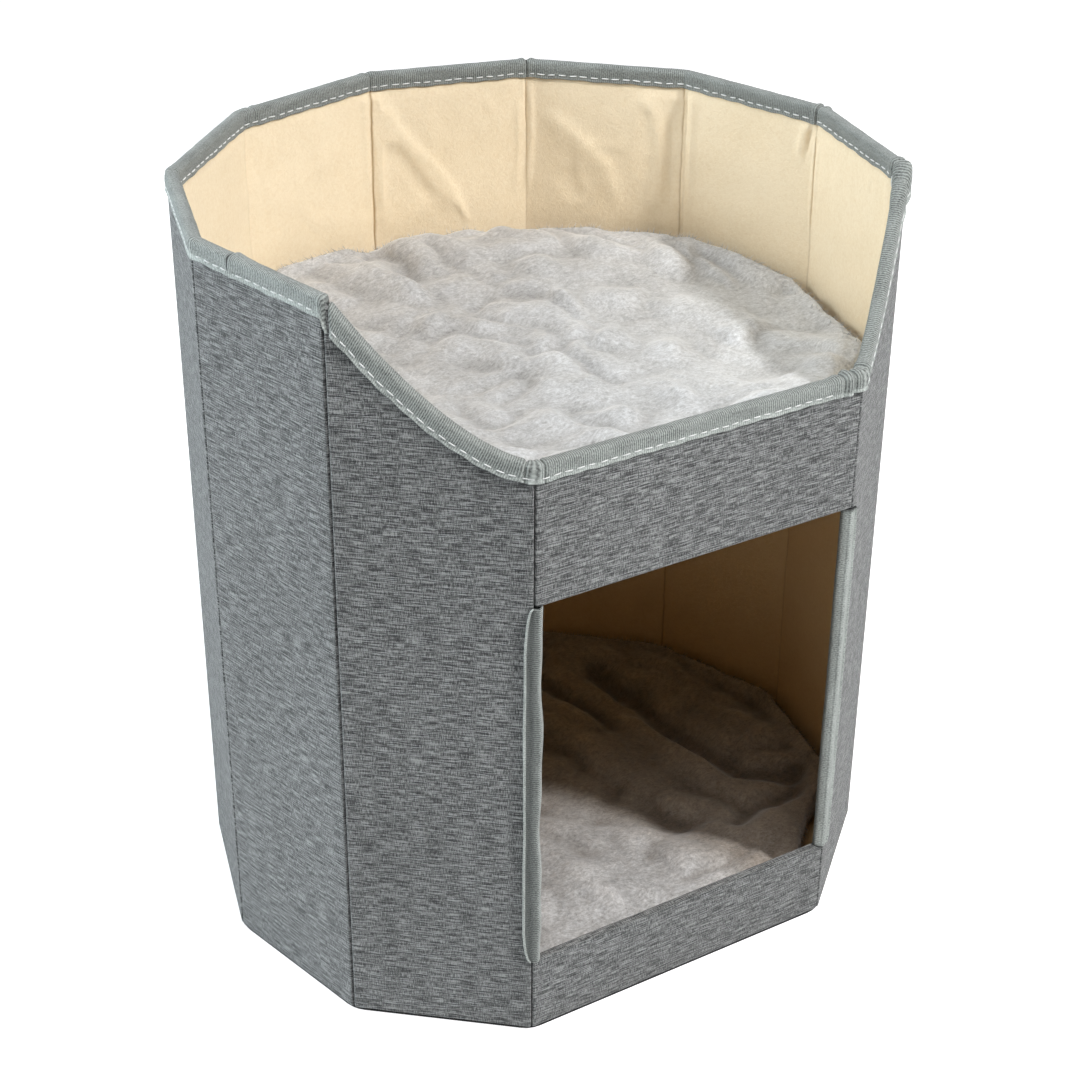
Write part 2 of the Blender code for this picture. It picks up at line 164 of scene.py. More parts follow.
def finishPiece(obj, body, material, replaced=()):
    obj.data.materials.clear()
    obj.data.materials.append(material)
    obj.data.shade_smooth()
    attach(obj, body)
    if replaced:
        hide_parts(*replaced)
    return obj


def crease(rise, left, right, *path, fade=(0.15, 0.25)):
    # a ridge or valley along a path, its width on either side and the share of it that fades at each end
    return {"rise": rise, "widths": (left, right), "path": np.array(path), "fade": fade}


# shader helpers: a value is a socket or a plain number, and the tree is the one that its socket is in

def feed(socket, value):
    if isinstance(value, bpy.types.NodeSocket):
        socket.id_data.links.new(value, socket)
    else:
        socket.default_value = value


def addNode(tree, kind, **settings):
    # settings name the node's own properties or, with _ for a blank, its sockets
    node = tree.nodes.new(kind)
    for key, value in settings.items():
        label = key.replace("_", " ")
        if label in node.inputs:
            feed(node.inputs[label], value)
        else:
            setattr(node, key, value)
    return node


def maths(operation, *values):
    tree = next(value.id_data for value in values if isinstance(value, bpy.types.NodeSocket))
    node = addNode(tree, "ShaderNodeMath", operation=operation)
    for socket, value in zip(node.inputs, values):
        feed(socket, value)
    return node.outputs[0]


def plus(first, *others):
    for other in others:
        first = maths("ADD", first, other)
    return first


def minus(first, second):
    return maths("SUBTRACT", first, second)


def product(first, second):
    return maths("MULTIPLY", first, second)


def ratio(first, second):
    return maths("DIVIDE", first, second)


def separated(vector):
    node = addNode(vector.id_data, "ShaderNodeSeparateXYZ", Vector=vector)
    return node.outputs["X"], node.outputs["Y"]


def stretched(vector, scale, turn=(0, 0, 0), shift=(0, 0, 0)):
    tree = vector.id_data
    node = addNode(tree, "ShaderNodeMapping", Vector=vector, Scale=scale, Rotation=turn, Location=shift)
    return node.outputs["Vector"]


def noiseTexture(vector, scale, detail=2.0, roughness=0.5, distortion=0.0):
    node = addNode(
        vector.id_data, "ShaderNodeTexNoise", Vector=vector, Scale=scale, Detail=detail,
        Roughness=roughness, Distortion=distortion,
    )
    return node.outputs["Fac"]


def ramp(source, stops):
    node = addNode(source.id_data, "ShaderNodeValToRGB", Fac=source)
    elements = node.color_ramp.elements
    elements.remove(elements[1])
    elements[0].position = stops[0][0]
    elements[0].color = (*stops[0][1], 1.0)
    for place, colour in stops[1:]:
        elements.new(place).color = (*colour, 1.0)
    return node.outputs["Color"]


def blended(first, second, blend="MULTIPLY", factor=1.0):
    node = addNode(
        first.id_data, "ShaderNodeMix", data_type="RGBA", blend_type=blend,
        Factor=factor, A=first, B=second,
    )
    return node.outputs["Result"]


def clothCoordinates(shader):
    return addNode(shader.id_data, "ShaderNodeUVMap", uv_map="cloth").outputs["UV"]


def objectCoordinates(shader):
    return addNode(shader.id_data, "ShaderNodeTexCoord").outputs["Object"]


def pointValue(shader, name):
    return addNode(shader.id_data, "ShaderNodeAttribute", attribute_name=name).outputs["Fac"]


def newMaterial(name, roughness, sheen=0.0, sheenTint=(1, 1, 1, 1)):
    material = bpy.data.materials.new(name)
    material.use_nodes = True
    shader = material.node_tree.nodes["Principled BSDF"]
    shader.inputs["Roughness"].default_value = roughness
    shader.inputs["Specular IOR Level"].default_value = 0.25
    shader.inputs["Sheen Weight"].default_value = sheen
    shader.inputs["Sheen Roughness"].default_value = 0.5
    shader.inputs["Sheen Tint"].default_value = sheenTint
    return material, shader


def bumped(shader, height, depth):
    node = addNode(shader.id_data, "ShaderNodeBump", Height=height, Distance=depth)
    feed(shader.inputs["Normal"], node.outputs["Normal"])


def newGroup(name, inputs, outputs):
    group = bpy.data.node_groups.new(name, "ShaderNodeTree")
    for label, kind in inputs:
        group.interface.new_socket(name=label, in_out="INPUT", socket_type="NodeSocket" + kind)
    for label in outputs:
        group.interface.new_socket(name=label, in_out="OUTPUT", socket_type="NodeSocketFloat")
    return group, group.nodes.new("NodeGroupInput").outputs, group.nodes.new("NodeGroupOutput").inputs


def placeGroup(group, vector, **values):
    return addNode(vector.id_data, "ShaderNodeGroup", node_tree=group, Vector=vector, **values).outputs


# layers of yarn noise: scale along and across the threads, shift, weight
slubLayers = [
    ((110, 2100, 1), (0, 0, 0), 2.2),
    ((55, 1200, 1), (3, 7, 0), 1.0),
    ((2300, 260, 1), (11, 5, 0), 1.5),
    ((3300, 3100, 1), (6, 2, 0), 1.5),
]


def makeSlubGroup():
    # Melange yarn: pale and dark slubs along both thread directions, and the height of the weave
    group, start, end = newGroup("slubWeave", [("Vector", "Vector")], ["Slubs", "Height"])
    place = start["Vector"]
    slubs = 0.5
    for scale, shift, weight in slubLayers:
        layer = noiseTexture(stretched(place, scale, shift=shift), 1.0, 1.0)
        slubs = plus(product(minus(layer, 0.5), weight), slubs)
    feed(end["Slubs"], slubs)
    threads = []
    for direction in "XY":
        wave = addNode(
            group, "ShaderNodeTexWave", wave_type="BANDS", bands_direction=direction, Scale=260.0,
            Distortion=1.2, Detail=1.0, Vector=place,
        )
        threads.append(wave.outputs["Fac"])
    weave = product(plus(*threads), 0.5)
    feed(end["Height"], plus(product(weave, 0.45), product(slubs, 0.8)))
    return group


def makeFeltGroup():
    # Pressed fibres: soft clouds, small fibre strokes in many directions, and their height
    group, start, end = newGroup(
        "pressedFibres", [("Vector", "Vector"), ("Fibre Scale", "Float")], ["Clouds", "Height"],
    )
    feed(end["Clouds"], noiseTexture(start["Vector"], 14.0, 3.0, 0.55))
    feed(end["Height"], noiseTexture(start["Vector"], start["Fibre Scale"], 4.0, 0.65, 0.8))
    return group


slubGroup = makeSlubGroup()
feltGroup = makeFeltGroup()

coverLook = {
    "dark": (0.033, 0.035, 0.036),
    "middle": (0.127, 0.131, 0.131),
    "pale": (0.39, 0.40, 0.395),
    "patches": (0.93, 1.05),  # the tone of slow patches
    "weaveDepth": 0.00022,
}


def makeCoverMaterial():
    material, shader = newMaterial("melangeCover", 0.86, 0.30)
    place = clothCoordinates(shader)
    weave = placeGroup(slubGroup, place)
    colour = ramp(weave["Slubs"], [
        (0.14, coverLook["dark"]), (0.50, coverLook["middle"]), (0.86, coverLook["pale"]),
    ])
    dim, clear = coverLook["patches"]
    tint = ramp(noiseTexture(place, 9.0), [(0.3, (dim,) * 3), (0.7, (clear,) * 3)])
    feed(shader.inputs["Base Color"], blended(colour, tint))
    bumped(shader, weave["Height"], coverLook["weaveDepth"])
    return material


liningLook = {
    # seam is the colour of the painted shade in the folds
    "base": (0.93, 0.79, 0.575), "worn": (0.85, 0.69, 0.465), "seam": (0.42, 0.28, 0.14),
    "fibreDepth": 0.00038,
    "foldStep": 0.1, "seamWidth": 0.0015, "seamWander": 0.0030,
    "paintedDenShade": (0.80, 0.68, 0.50), "denTop": 0.300, "denFade": 0.03,  # painted shade inside the den
    # how dark the painted shade line in a fold is, by run: weak on the left, strong at the back
    "foldShadeLines": [
        (0.00, 0.0), (0.24, 0.0), (0.29, 0.25), (0.38, 0.3), (0.42, 0.45), (0.48, 0.8), (0.54, 0.8),
        (0.58, 0.15), (0.64, 0.15), (0.69, 1.0), (0.73, 1.0), (0.79, 0.1), (1.00, 0.1), (1.15, 0.1),
        (1.17, 0.0),
    ],
    "span": 1.2,  # the run at the ramp's end
}


def makeLiningMaterial():
    material, shader = newMaterial("creamLining", 0.93, 0.15, (1.0, 0.93, 0.82, 1))
    place = objectCoordinates(shader)
    felt = placeGroup(feltGroup, place, Fibre_Scale=480.0)
    fibres = plus(product(felt["Clouds"], 0.35), product(felt["Height"], 0.65))
    colour = ramp(fibres, [(0.30, liningLook["worn"]), (0.58, liningLook["base"])])
    # a thin painted shade line in each fold
    run, height = separated(clothCoordinates(shader))
    wander = noiseTexture(stretched(place, (1, 1, 60)), 1.0)
    run = plus(run, product(minus(wander, 0.5), liningLook["seamWander"]))
    steps = ratio(run, liningLook["foldStep"])
    away = maths("ABSOLUTE", minus(steps, maths("ROUND", steps)))
    near = minus(1.0, ratio(away, liningLook["seamWidth"] / liningLook["foldStep"]))
    stops = [(at / liningLook["span"], (dark,) * 3) for at, dark in liningLook["foldShadeLines"]]
    strength = ramp(ratio(run, liningLook["span"]), stops)
    line = product(maths("MAXIMUM", near, 0.0), strength)
    colour = blended(colour, (*liningLook["seam"], 1.0), "MIX", line)
    # painted shade: the lining is darker inside the den, below the shelf
    fade = ratio(minus(liningLook["denTop"], height), liningLook["denFade"])
    den = ramp(fade, [(0.0, (1, 1, 1)), (1.0, liningLook["paintedDenShade"])])
    feed(shader.inputs["Base Color"], blended(colour, den))
    bumped(shader, felt["Height"], liningLook["fibreDepth"])
    return material


tapeLook = {
    "hue": (0.96, 1.03, 0.98),
    "span": 0.12,  # the way at the ramps' end
    # across the tape: (way, tone), partly painted shade on the inner side and in the doorway tapes' channel;
    # from 0 the rim tape, outside to inside, from 0.05 the left doorway tape and from 0.09 the right one
    "tonesAndShade": [
        (0.0000, 0.44), (0.0022, 0.42), (0.0030, 0.32), (0.0075, 0.29), (0.0110, 0.26), (0.0150, 0.23),
        (0.0210, 0.21), (0.0260, 0.24), (0.0500, 0.46), (0.0516, 0.42), (0.0524, 0.13), (0.0560, 0.15),
        (0.0600, 0.21), (0.0618, 0.34), (0.0640, 0.46), (0.0660, 0.20), (0.0900, 0.42), (0.0960, 0.36),
        (0.1000, 0.42), (0.1012, 0.40), (0.1018, 0.24), (0.1026, 0.40), (0.1050, 0.38), (0.1062, 0.14),
    ],
    # the same for the strength of the ribs
    "ribs": [
        (0.0000, 0.35), (0.0030, 0.4), (0.0040, 0.8), (0.0140, 0.7), (0.0240, 0.4), (0.0500, 0.2),
        (0.0560, 0.5), (0.0610, 0.8), (0.0625, 1.2), (0.0650, 0.8), (0.0900, 0.25),
    ],
    "ribPitch": 0.00125, "ribDepth": 0.00025,
    "fleckScale": (1600, 900, 1), "wearScale": (60, 200, 1),
    "ribTone": 1.1, "fleckTone": 2.2, "wearTone": 0.9,
}


def makeTapeMaterial():
    material, shader = newMaterial("ribbedBinding", 0.75, 0.15)
    place = clothCoordinates(shader)
    span = tapeLook["span"]
    way = ratio(separated(place)[1], span)
    # the tone across the tape, partly painted shade
    tone = ramp(way, [(at / span, tuple(t * h for h in tapeLook["hue"])) for at, t in tapeLook["tonesAndShade"]])
    ribShare = ramp(way, [(at / span, (share,) * 3) for at, share in tapeLook["ribs"]])
    wave = addNode(
        shader.id_data, "ShaderNodeTexWave", wave_type="BANDS", bands_direction="X", wave_profile="SIN",
        Scale=tau / tapeLook["ribPitch"] / 20, Distortion=0.5, Detail=1.0, Detail_Scale=3.0, Vector=place,
    )
    fleck = noiseTexture(stretched(place, tapeLook["fleckScale"]), 1.0, 2.0, 0.6)
    wear = noiseTexture(stretched(place, tapeLook["wearScale"]), 1.0, 3.0, 0.6)
    ribs = product(minus(wave.outputs["Fac"], 0.5), ribShare)
    flecks = product(minus(fleck, 0.5), tapeLook["fleckTone"])
    grain = plus(flecks, product(minus(wear, 0.5), tapeLook["wearTone"]))
    level = plus(product(ribs, tapeLook["ribTone"]), grain, 1.0)
    # painted shade in the pinches' slits and at the doorway tape's top
    level = product(level, minus(1.0, pointValue(shader, "slitShade")))
    feed(shader.inputs["Base Color"], blended(tone, level))
    bumped(shader, plus(ribs, product(fleck, 0.6)), tapeLook["ribDepth"])
    return material


plushLooks = {
    "upper": {
        "root": (0.29, 0.285, 0.28), "pile": (0.49, 0.487, 0.487), "tip": (0.70, 0.705, 0.715),
        # painted shade: paler in front and darker at the back, as the light falls
        "layAndShade": [(0.0, (1.07, 1.09, 1.10)), (1.0, (0.85, 0.835, 0.82))],
        "lean": 0.0, "shift": 0.5,
        # painted shade in the hollows and painted light on the crests
        "hollowShade": (0.80, 0.79, 0.775), "crest": (1.07, 1.075, 1.08),
    },
    "lower": {
        "root": (0.25, 0.245, 0.24), "pile": (0.48, 0.477, 0.477), "tip": (0.74, 0.745, 0.755),
        # the deep shade behind a line that leans across the doorway
        "layAndShade": [
            (0.0, (1.07, 1.08, 1.09)), (0.27, (0.98, 0.97, 0.96)),
            (0.45, (0.62, 0.55, 0.48)), (1.0, (0.54, 0.46, 0.38)),
        ],
        "lean": 2.3, "shift": 0.41,
        # painted shade in the hollows and painted light on the crests, stronger here
        "hollowShade": (0.56, 0.53, 0.50), "crest": (1.22, 1.21, 1.20),
    },
}
plush = {
    "sheen": 0.6, "depth": 0.0005,
    "width": 0.34,  # of the pad, over which the painted shade runs
    # the patterns of the pile: scales, and the share of strands, tufts and grain
    "layScale": 38.0, "driftScale": 30.0, "drift": 0.012, "strandScale": (330, 760, 380),
    "tuftScale": 300.0, "grainScale": 1000.0,
    "shares": (0.42, 0.33, 0.25), "layShare": 0.18,
    "fibreShade": 0.35,  # how much one fibre may differ from the next
}


def withPaintedShade(colour, place, look):
    # the colour with painted shade: paler in front, darker at the back and behind a leaning line
    x, y = separated(place)
    straight = plus(ratio(y, plush["width"]), 0.5)
    leaning = plus(ratio(plus(y, product(x, look["lean"])), plush["width"]), look["shift"])
    return blended(colour, ramp(maths("MAXIMUM", straight, leaning), look["layAndShade"]))


def makePlushMaterial(name, look):
    material, shader = newMaterial(name, 0.95, plush["sheen"])
    place = objectCoordinates(shader)
    layAndShade = noiseTexture(place, plush["layScale"])
    drift = addNode(
        shader.id_data, "ShaderNodeTexNoise", Vector=place, Scale=plush["driftScale"], Detail=1.0,
    )
    shifted = blended(place, drift.outputs["Color"], "LINEAR_LIGHT", plush["drift"])
    strands = noiseTexture(stretched(shifted, plush["strandScale"], (0, 0, 0.6)), 1.0, 3.0, 0.65)
    tufts = noiseTexture(place, plush["tuftScale"], 3.0, 0.65)
    grain = noiseTexture(place, plush["grainScale"], 2.0, 0.6)
    fibres = plus(*map(product, (strands, tufts, grain), plush["shares"]))
    mask = plus(product(fibres, 1 - plush["layShare"]), product(layAndShade, plush["layShare"]))
    colour = ramp(mask, [(0.36, look["root"]), (0.50, look["pile"]), (0.64, look["tip"])])
    # painted shade in the hollows and painted light on the crests
    level = plus(product(pointValue(shader, "hollowShade"), 0.5), 0.5)
    level = ramp(level, [(0.0, look["hollowShade"]), (0.5, (1, 1, 1)), (1.0, look["crest"])])
    feed(shader.inputs["Base Color"], blended(withPaintedShade(colour, place, look), level))
    bumped(shader, fibres, plush["depth"])
    return material


def makePileMaterial(name, look):
    # For the fibres: darker roots, pale tips, each fibre a little different
    material, shader = newMaterial(name, 0.85, plush["sheen"])
    shade, tip = separated(clothCoordinates(shader))
    mask = plus(tip, product(minus(shade, 0.5), plush["fibreShade"]))
    colour = ramp(mask, [(0.0, look["root"]), (0.45, look["pile"]), (1.0, look["tip"])])
    feed(shader.inputs["Base Color"], withPaintedShade(colour, objectCoordinates(shader), look))
    return material


def fibrePattern(place, scale):
    return placeGroup(feltGroup, place, Fibre_Scale=scale)["Height"]


def cellPattern(place, scale):
    return addNode(place.id_data, "ShaderNodeTexVoronoi", Vector=place, Scale=scale).outputs["Distance"]


def twistPattern(place, scale):
    return noiseTexture(place, scale, 1.0)


# the smaller materials: a pattern between two colours, and a pattern for the relief
plainLooks = {
    "greyFibreboard": {
        "roughness": 0.85, "sheen": 0.0, "depth": 0.0001,
        "tone": (fibrePattern, 260.0), "relief": (fibrePattern, 260.0),
        "stops": [(0.35, (0.25, 0.21, 0.165)), (0.65, (0.41, 0.355, 0.285))],
    },
    "blackBottomCloth": {
        "roughness": 0.9, "sheen": 0.2, "depth": 0.0002,
        "tone": (fibrePattern, 420.0), "relief": (cellPattern, 480.0),
        "stops": [(0.35, (0.012, 0.012, 0.013)), (0.7, (0.034, 0.034, 0.036))],
    },
    "hookAndLoopTape": {
        "roughness": 0.88, "sheen": 0.3, "depth": 0.0004,
        "tone": (cellPattern, 900.0), "relief": (cellPattern, 900.0),
        "stops": [(0.0, (0.055, 0.055, 0.057)), (0.5, (0.012, 0.012, 0.013))],
    },
    "whiteThread": {
        "roughness": 0.6, "sheen": 0.2, "depth": 0.0001,
        "tone": (twistPattern, 2200.0), "relief": (twistPattern, 2200.0),
        "stops": [(0.3, (0.62, 0.63, 0.62)), (0.7, (0.86, 0.87, 0.86))],
    },
}


def makePlainMaterial(name):
    look = plainLooks[name]
    material, shader = newMaterial(name, look["roughness"], look["sheen"])
    place = objectCoordinates(shader)
    pattern, scale = look["tone"]
    feed(shader.inputs["Base Color"], ramp(pattern(place, scale), look["stops"]))
    pattern, scale = look["relief"]
    bumped(shader, pattern(place, scale), look["depth"])
    return material


coverMaterial = makeCoverMaterial()
liningMaterial = makeLiningMaterial()
tapeMaterial = makeTapeMaterial()
boardMaterial, blackMaterial, hookMaterial, threadMaterial = map(makePlainMaterial, plainLooks)
print("materials made")


# the ring of walls, read from the frame

house = {
    "sideWalls": 5,
    "rimSweep": 1.6,  # the power of the rim's curve
    "rimAboveCover": 0.0030,
    "foldGap": 0.0002,
    "columnGap": 0.0003,  # no extra column stands nearer to another than this
}
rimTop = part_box("rim_tape")[1].z
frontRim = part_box("header_cover")[1].z + house["rimAboveCover"]
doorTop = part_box("header_cover")[0].z
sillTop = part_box("sill_cover")[1].z
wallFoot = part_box("sill_cover")[0].z


def readWall(name, coverNode):
    # The wall's plan line and its depth, from the widest face of its cover
    mesh = nodes[coverNode].data
    face = max(mesh.polygons, key=lambda f: f.area if f.normal.xy.dot(f.center.xy) > 0 else 0)
    outward = np.array(face.normal.xy.normalized())
    along = np.array([-outward[1], outward[0]])
    corners = np.array([v.co[:2] for v in mesh.vertices])
    run = corners @ along
    deep = corners @ outward
    start = along * (run.min() - house["foldGap"]) + outward * deep.min()
    return {
        "name": name, "start": start, "along": along, "outward": outward,
        "length": np.ptp(run) + 2 * house["foldGap"], "depth": np.ptp(deep),
    }


walls = [readWall("front", "header_cover")]
walls += [readWall(f"right_{k + 1}", f"wall_cover_right_{k + 1}") for k in range(house["sideWalls"])]
walls += [readWall(f"left_{k}", f"wall_cover_left_{k}") for k in range(house["sideWalls"], 0, -1)]
wallDepth = walls[0]["depth"]


def rimHeight(wall, u):
    # level in front and round the back, with a curve in the two walls beside the front one
    fromFront = {"front": 0.0, "right_1": u, "left_1": wall["length"] - u}.get(wall["name"], wall["length"])
    return frontRim + (rimTop - frontRim) * (max(fromFront, 0.0) / wall["length"]) ** house["rimSweep"]


foldRuns = []  # where each fold lies along the plan, from the front wall's left end
walked = 0.0
for wall in walls:
    foldRuns.append(walked)
    walked += wall["length"]
ringLength = walked
# fold 0 front left, 1 front right, 2 to 5 up the right side, 6 at the back, 7 to 10 down the left side
turns = [
    math.acos(float(np.clip(walls[k - 1]["along"] @ wall["along"], -1, 1)))
    for k, wall in enumerate(walls)
]


def ringColumns(rounding, spacing, arcSteps, extras=()):
    # Columns round the whole ring with rounded folds; extras are runs where a column is wanted besides
    columns = []
    count = len(walls)
    for k, wall in enumerate(walls):
        turnBefore, turnAfter = turns[k], turns[(k + 1) % count]
        inset = rounding * math.tan(turnBefore / 2)
        outset = wall["length"] - rounding * math.tan(turnAfter / 2)
        steps = max(2, round((outset - inset) / spacing))
        spots = [inset + (outset - inset) * step / steps for step in range(steps + 1)]
        for u in (run - foldRuns[k] for run in extras):
            if inset < u < outset and min(abs(u - other) for other in spots) > house["columnGap"]:
                spots.append(u)
        for u in sorted(spots):
            spot = wall["start"] + wall["along"] * u
            columns.append({"spot": spot, "normal": wall["outward"], "wall": k, "u": u})
        corner = wall["start"] + wall["along"] * outset - wall["outward"] * rounding
        for step in range(1, arcSteps):
            angle = turnAfter * step / arcSteps
            normal = math.cos(angle) * wall["outward"] + math.sin(angle) * wall["along"]
            side = rounding * math.tan(turnAfter / 2) * (1 - 2 * step / arcSteps)
            spot = corner + normal * rounding
            columns.append({"spot": spot, "normal": normal, "wall": k, "u": wall["length"] - side})
    run = 0.0
    for k, column in enumerate(columns):
        if k:
            run += float(np.linalg.norm(column["spot"] - columns[k - 1]["spot"]))
        column["run"] = run
        column["nominal"] = foldRuns[column["wall"]] + column["u"]
        column["rim"] = rimAt(column["nominal"])
    total = run + float(np.linalg.norm(columns[0]["spot"] - columns[-1]["spot"]))
    for k, column in enumerate(columns):
        before, after = columns[k - 1], columns[(k + 1) % len(columns)]
        reach = (after["run"] - before["run"]) % total
        column["slope"] = (after["rim"] - before["rim"]) / reach
    return columns, total


def nearby(reach, step):
    # distances to either side of a place, a step apart
    return np.arange(-reach, reach + 0.0001, step)


def rimAt(run):
    run = run % ringLength
    k = max(index for index, fold in enumerate(foldRuns) if fold <= run)
    return rimHeight(walls[k], min(run - foldRuns[k], walls[k]["length"]))


def creaseField(first, second, creases):
    # How far ridges and valleys lift the points at (first, second)
    total = np.zeros(len(first))
    for line in creases:
        path = line["path"]
        parts = np.diff(path, axis=0)
        lengths = np.hypot(parts[:, 0], parts[:, 1])
        nearest = np.full(len(first), 9.0)
        share = np.zeros(len(first))
        side = np.zeros(len(first))
        passed = 0.0
        for start, part, length in zip(path, parts, lengths):
            dx, dy = first - start[0], second - start[1]
            t = np.clip((dx * part[0] + dy * part[1]) / length ** 2, 0, 1)
            away = np.hypot(dx - t * part[0], dy - t * part[1])
            closer = away < nearest
            nearest = np.where(closer, away, nearest)
            share = np.where(closer, (passed + t * length) / lengths.sum(), share)
            side = np.where(closer, dx * part[1] - dy * part[0], side)
            passed += length
        left, right = line["widths"]
        fadeStart, fadeEnd = line["fade"]
        fade = smoothStep(-0.001, fadeStart, share) * (1 - smoothStep(1 - fadeEnd, 1.001, share))
        total += line["rise"] * np.exp(-(nearest / np.where(side > 0, right, left)) ** 2) * fade
    return total


print("walls read:", len(walls), "ring length", round(ringLength, 4))


# covers

cover = {
    "roll": 0.0018,  # size of the cloth's turned edge
    "foldGap": 0.00035,  # half the gap between neighbours
    "pillow": 0.0004,  # how far the cloth stands out in the middle
    "thickness": 0.0006,
    "cell": 0.005,
    "rumple": 0.00020,
    "rumpleWaves": (28, 11),  # for each metre along and up
    "underTape": 0.0022,  # the top edge under the rim tape
    "gapDepth": 0.001,  # over which the gap at a fold opens
    "hold": 0.006,  # so near a fold the cloth keeps to the slant of its edge
    "pillowEdge": 0.020, "pillowFoot": 0.030,  # over which it rises to its full height
    "flatEdge": 0.012, "flatFoot": 0.010,  # the same for the rumples
}
# by wall: rise, width left and right, then places as (along the wall, height)
coverCreases = {
    "left_1": [
        crease(-0.0009, 0.0011, 0.0018, (0.0005, 0.4225), (0.0050, 0.4150), (0.0125, 0.4035)),
        crease(-0.0005, 0.0012, 0.0020, (0.0030, 0.4240), (0.0100, 0.4160), (0.0190, 0.4060)),
        crease(-0.0005, 0.0012, 0.0015, (0.0020, 0.4150), (0.0035, 0.3950), (0.0030, 0.3750)),
    ],
    "header": [
        crease(-0.0004, 0.0012, 0.0030, (0.0105, 0.3500), (0.0120, 0.3380), (0.0110, 0.3150)),
        crease(-0.0005, 0.0025, 0.0015, (0.1880, 0.3490), (0.1850, 0.3300), (0.1870, 0.3120)),
    ],
    "left_2": [crease(-0.0005, 0.0015, 0.0025, (0.0930, 0.4280), (0.0900, 0.4180), (0.0840, 0.4060))],
    "right_1": [crease(-0.0006, 0.0020, 0.0015, (0.0040, 0.3480), (0.0080, 0.3300), (0.0070, 0.3050))],
}


def turnedEdge(slant):
    # From the fold outwards: (how far in from the edge, share of the depth) for one turned edge
    corner = np.array([-slant * wallDepth, wallDepth])
    first = corner * (1 - cover["roll"] / np.linalg.norm(corner))
    last = corner + (cover["roll"], 0.0)
    points = [0 * first, first / 2, first]
    for t in (0.2, 0.4, 0.6, 0.8, 1.0):
        points.append((1 - t) ** 2 * first + 2 * t * (1 - t) * corner + t * t * last)
    gaps = [cover["foldGap"] * min(1.0, float(d) / cover["gapDepth"]) for _, d in points]
    return [(float(u) + gap, float(d)) for (u, d), gap in zip(points, gaps)]


def edgeSteps(length, slantStart, slantEnd):
    # Stations across a panel, with the depth there; a slant of None leaves that edge open
    start = [(0.0, wallDepth)] if slantStart is None else turnedEdge(slantStart)
    end = [(0.0, wallDepth)] if slantEnd is None else turnedEdge(slantEnd)
    end = [(length - u, d) for u, d in reversed(end)]
    low, high = start[-1][0], end[0][0]
    count = max(2, round((high - low) / cover["cell"]))
    middle = [(low + (high - low) * k / count, wallDepth) for k in range(1, count)]
    return start + middle + end


def buildCover(part, wallIndex, low, high, replaced, underTape=True):
    # underTape: the top runs up under the rim tape; otherwise the top edge is turned as well
    wall, name = walls[wallIndex], replaced.replace("cover", "cloth")
    seed = sum(map(ord, name))
    slants = [math.tan(turns[index % len(walls)] / 2) for index in (wallIndex, wallIndex + 1)]
    across = edgeSteps(wall["length"], *slants)
    upward = edgeSteps(high - low, 0.0, None if underTape else 0.0)
    points, uv = [], []
    for height, deepZ in upward:
        for u, deepU in across:
            deep = max(deepU + deepZ - wallDepth, 0.0)
            near = min(u, wall["length"] - u)
            slant = slants[0] if u < wall["length"] / 2 else -slants[1]
            hold = 1 - smoothStep(0.0, cover["hold"], near)
            top = high
            if underTape:
                top = rimHeight(wall, min(max(u, 0.0), wall["length"])) - cover["underTape"]
            z = low + (top - low) * height / (high - low)
            puff = cover["pillow"] * min(1.0, max(0.0, near) / cover["pillowEdge"])
            puff *= min(1.0, (z - low) / cover["pillowFoot"])
            puff *= min(1.0, max(0.0, top - z) / cover["pillowEdge"])
            points.append((u + (deepU - deep) * slant * float(hold), deep + puff, z))
            uv.append((u, z + (wallDepth - deepZ) * (1 if height > 0.5 * (high - low) else -1)))
    points = np.array(points)
    u, height = points[:, 0], points[:, 2]
    flat = smoothStep(0.0, cover["flatEdge"], np.minimum(u, wall["length"] - u))
    flat *= smoothStep(0.0, cover["flatFoot"], height - low)
    waves = np.column_stack([points[:, [0, 2]] * cover["rumpleWaves"], np.full(len(points), seed * 1.7)])
    points[:, 1] += cover["rumple"] * flat * layeredNoise(waves, seed, 3)
    onFace = smoothStep(wallDepth * 0.75, wallDepth, points[:, 1])
    points[:, 1] += onFace * creaseField(u, height, coverCreases.get(part, ()))
    place = wall["start"] + points[:, :1] * wall["along"] + points[:, 1:2] * wall["outward"]
    uv = np.array(uv) + (0.37 * (seed % 23), 0.29 * (seed % 17))  # each is cut from another place
    obj = gridObject(name, np.column_stack([place, height]), len(across), uv)
    thicken(obj, cover["thickness"], -1.0)
    finishPiece(obj, "house", coverMaterial, [replaced])


print("building covers")
buildCover("header", 0, doorTop, frontRim, "header_cover")
buildCover("sill", 0, wallFoot, sillTop, "sill_cover", underTape=False)
for index, wall in enumerate(walls[1:], 1):
    buildCover(wall["name"], index, wallFoot, rimTop, "wall_cover_" + wall["name"])


# lining

lining = {
    "rounding": 0.0022, "spacing": 0.0060, "inset": 0.0007, "thickness": 0.0005,
    "lip": 0.0004,  # how far its edge stays inside the header's lower edge
    "sillLip": 0.0022,  # the same below the sill's top
    "underTape": 0.0125,  # it lies flat under the rim tape
    "footGap": 0.0004, "topGap": 0.0035,
    "rows": (3, 15, 62),  # up to the sill, beside the doorway and above it
    "foldZone": (0.0072, 0.0009),  # extra columns: how far from each fold and how close together
    "creased": (0.31, 0.80, 0.0023),  # more of them: from one run to another and how close together
    "doorEdge": 0.004,  # the doorway is cut so far past the front wall's folds
    "bedLevel": (0.312, 0.350),  # above the shelf it is loose
    "standOff": 0.0004, "waves": 0.0002, "ripples": 0.00030, "crumple": 0.0009, "creaseGain": 1.35,
    "reach": (-0.0005, 0.0019),  # it never stands out less or more than this
}
shortFade = (0.02, 0.02)
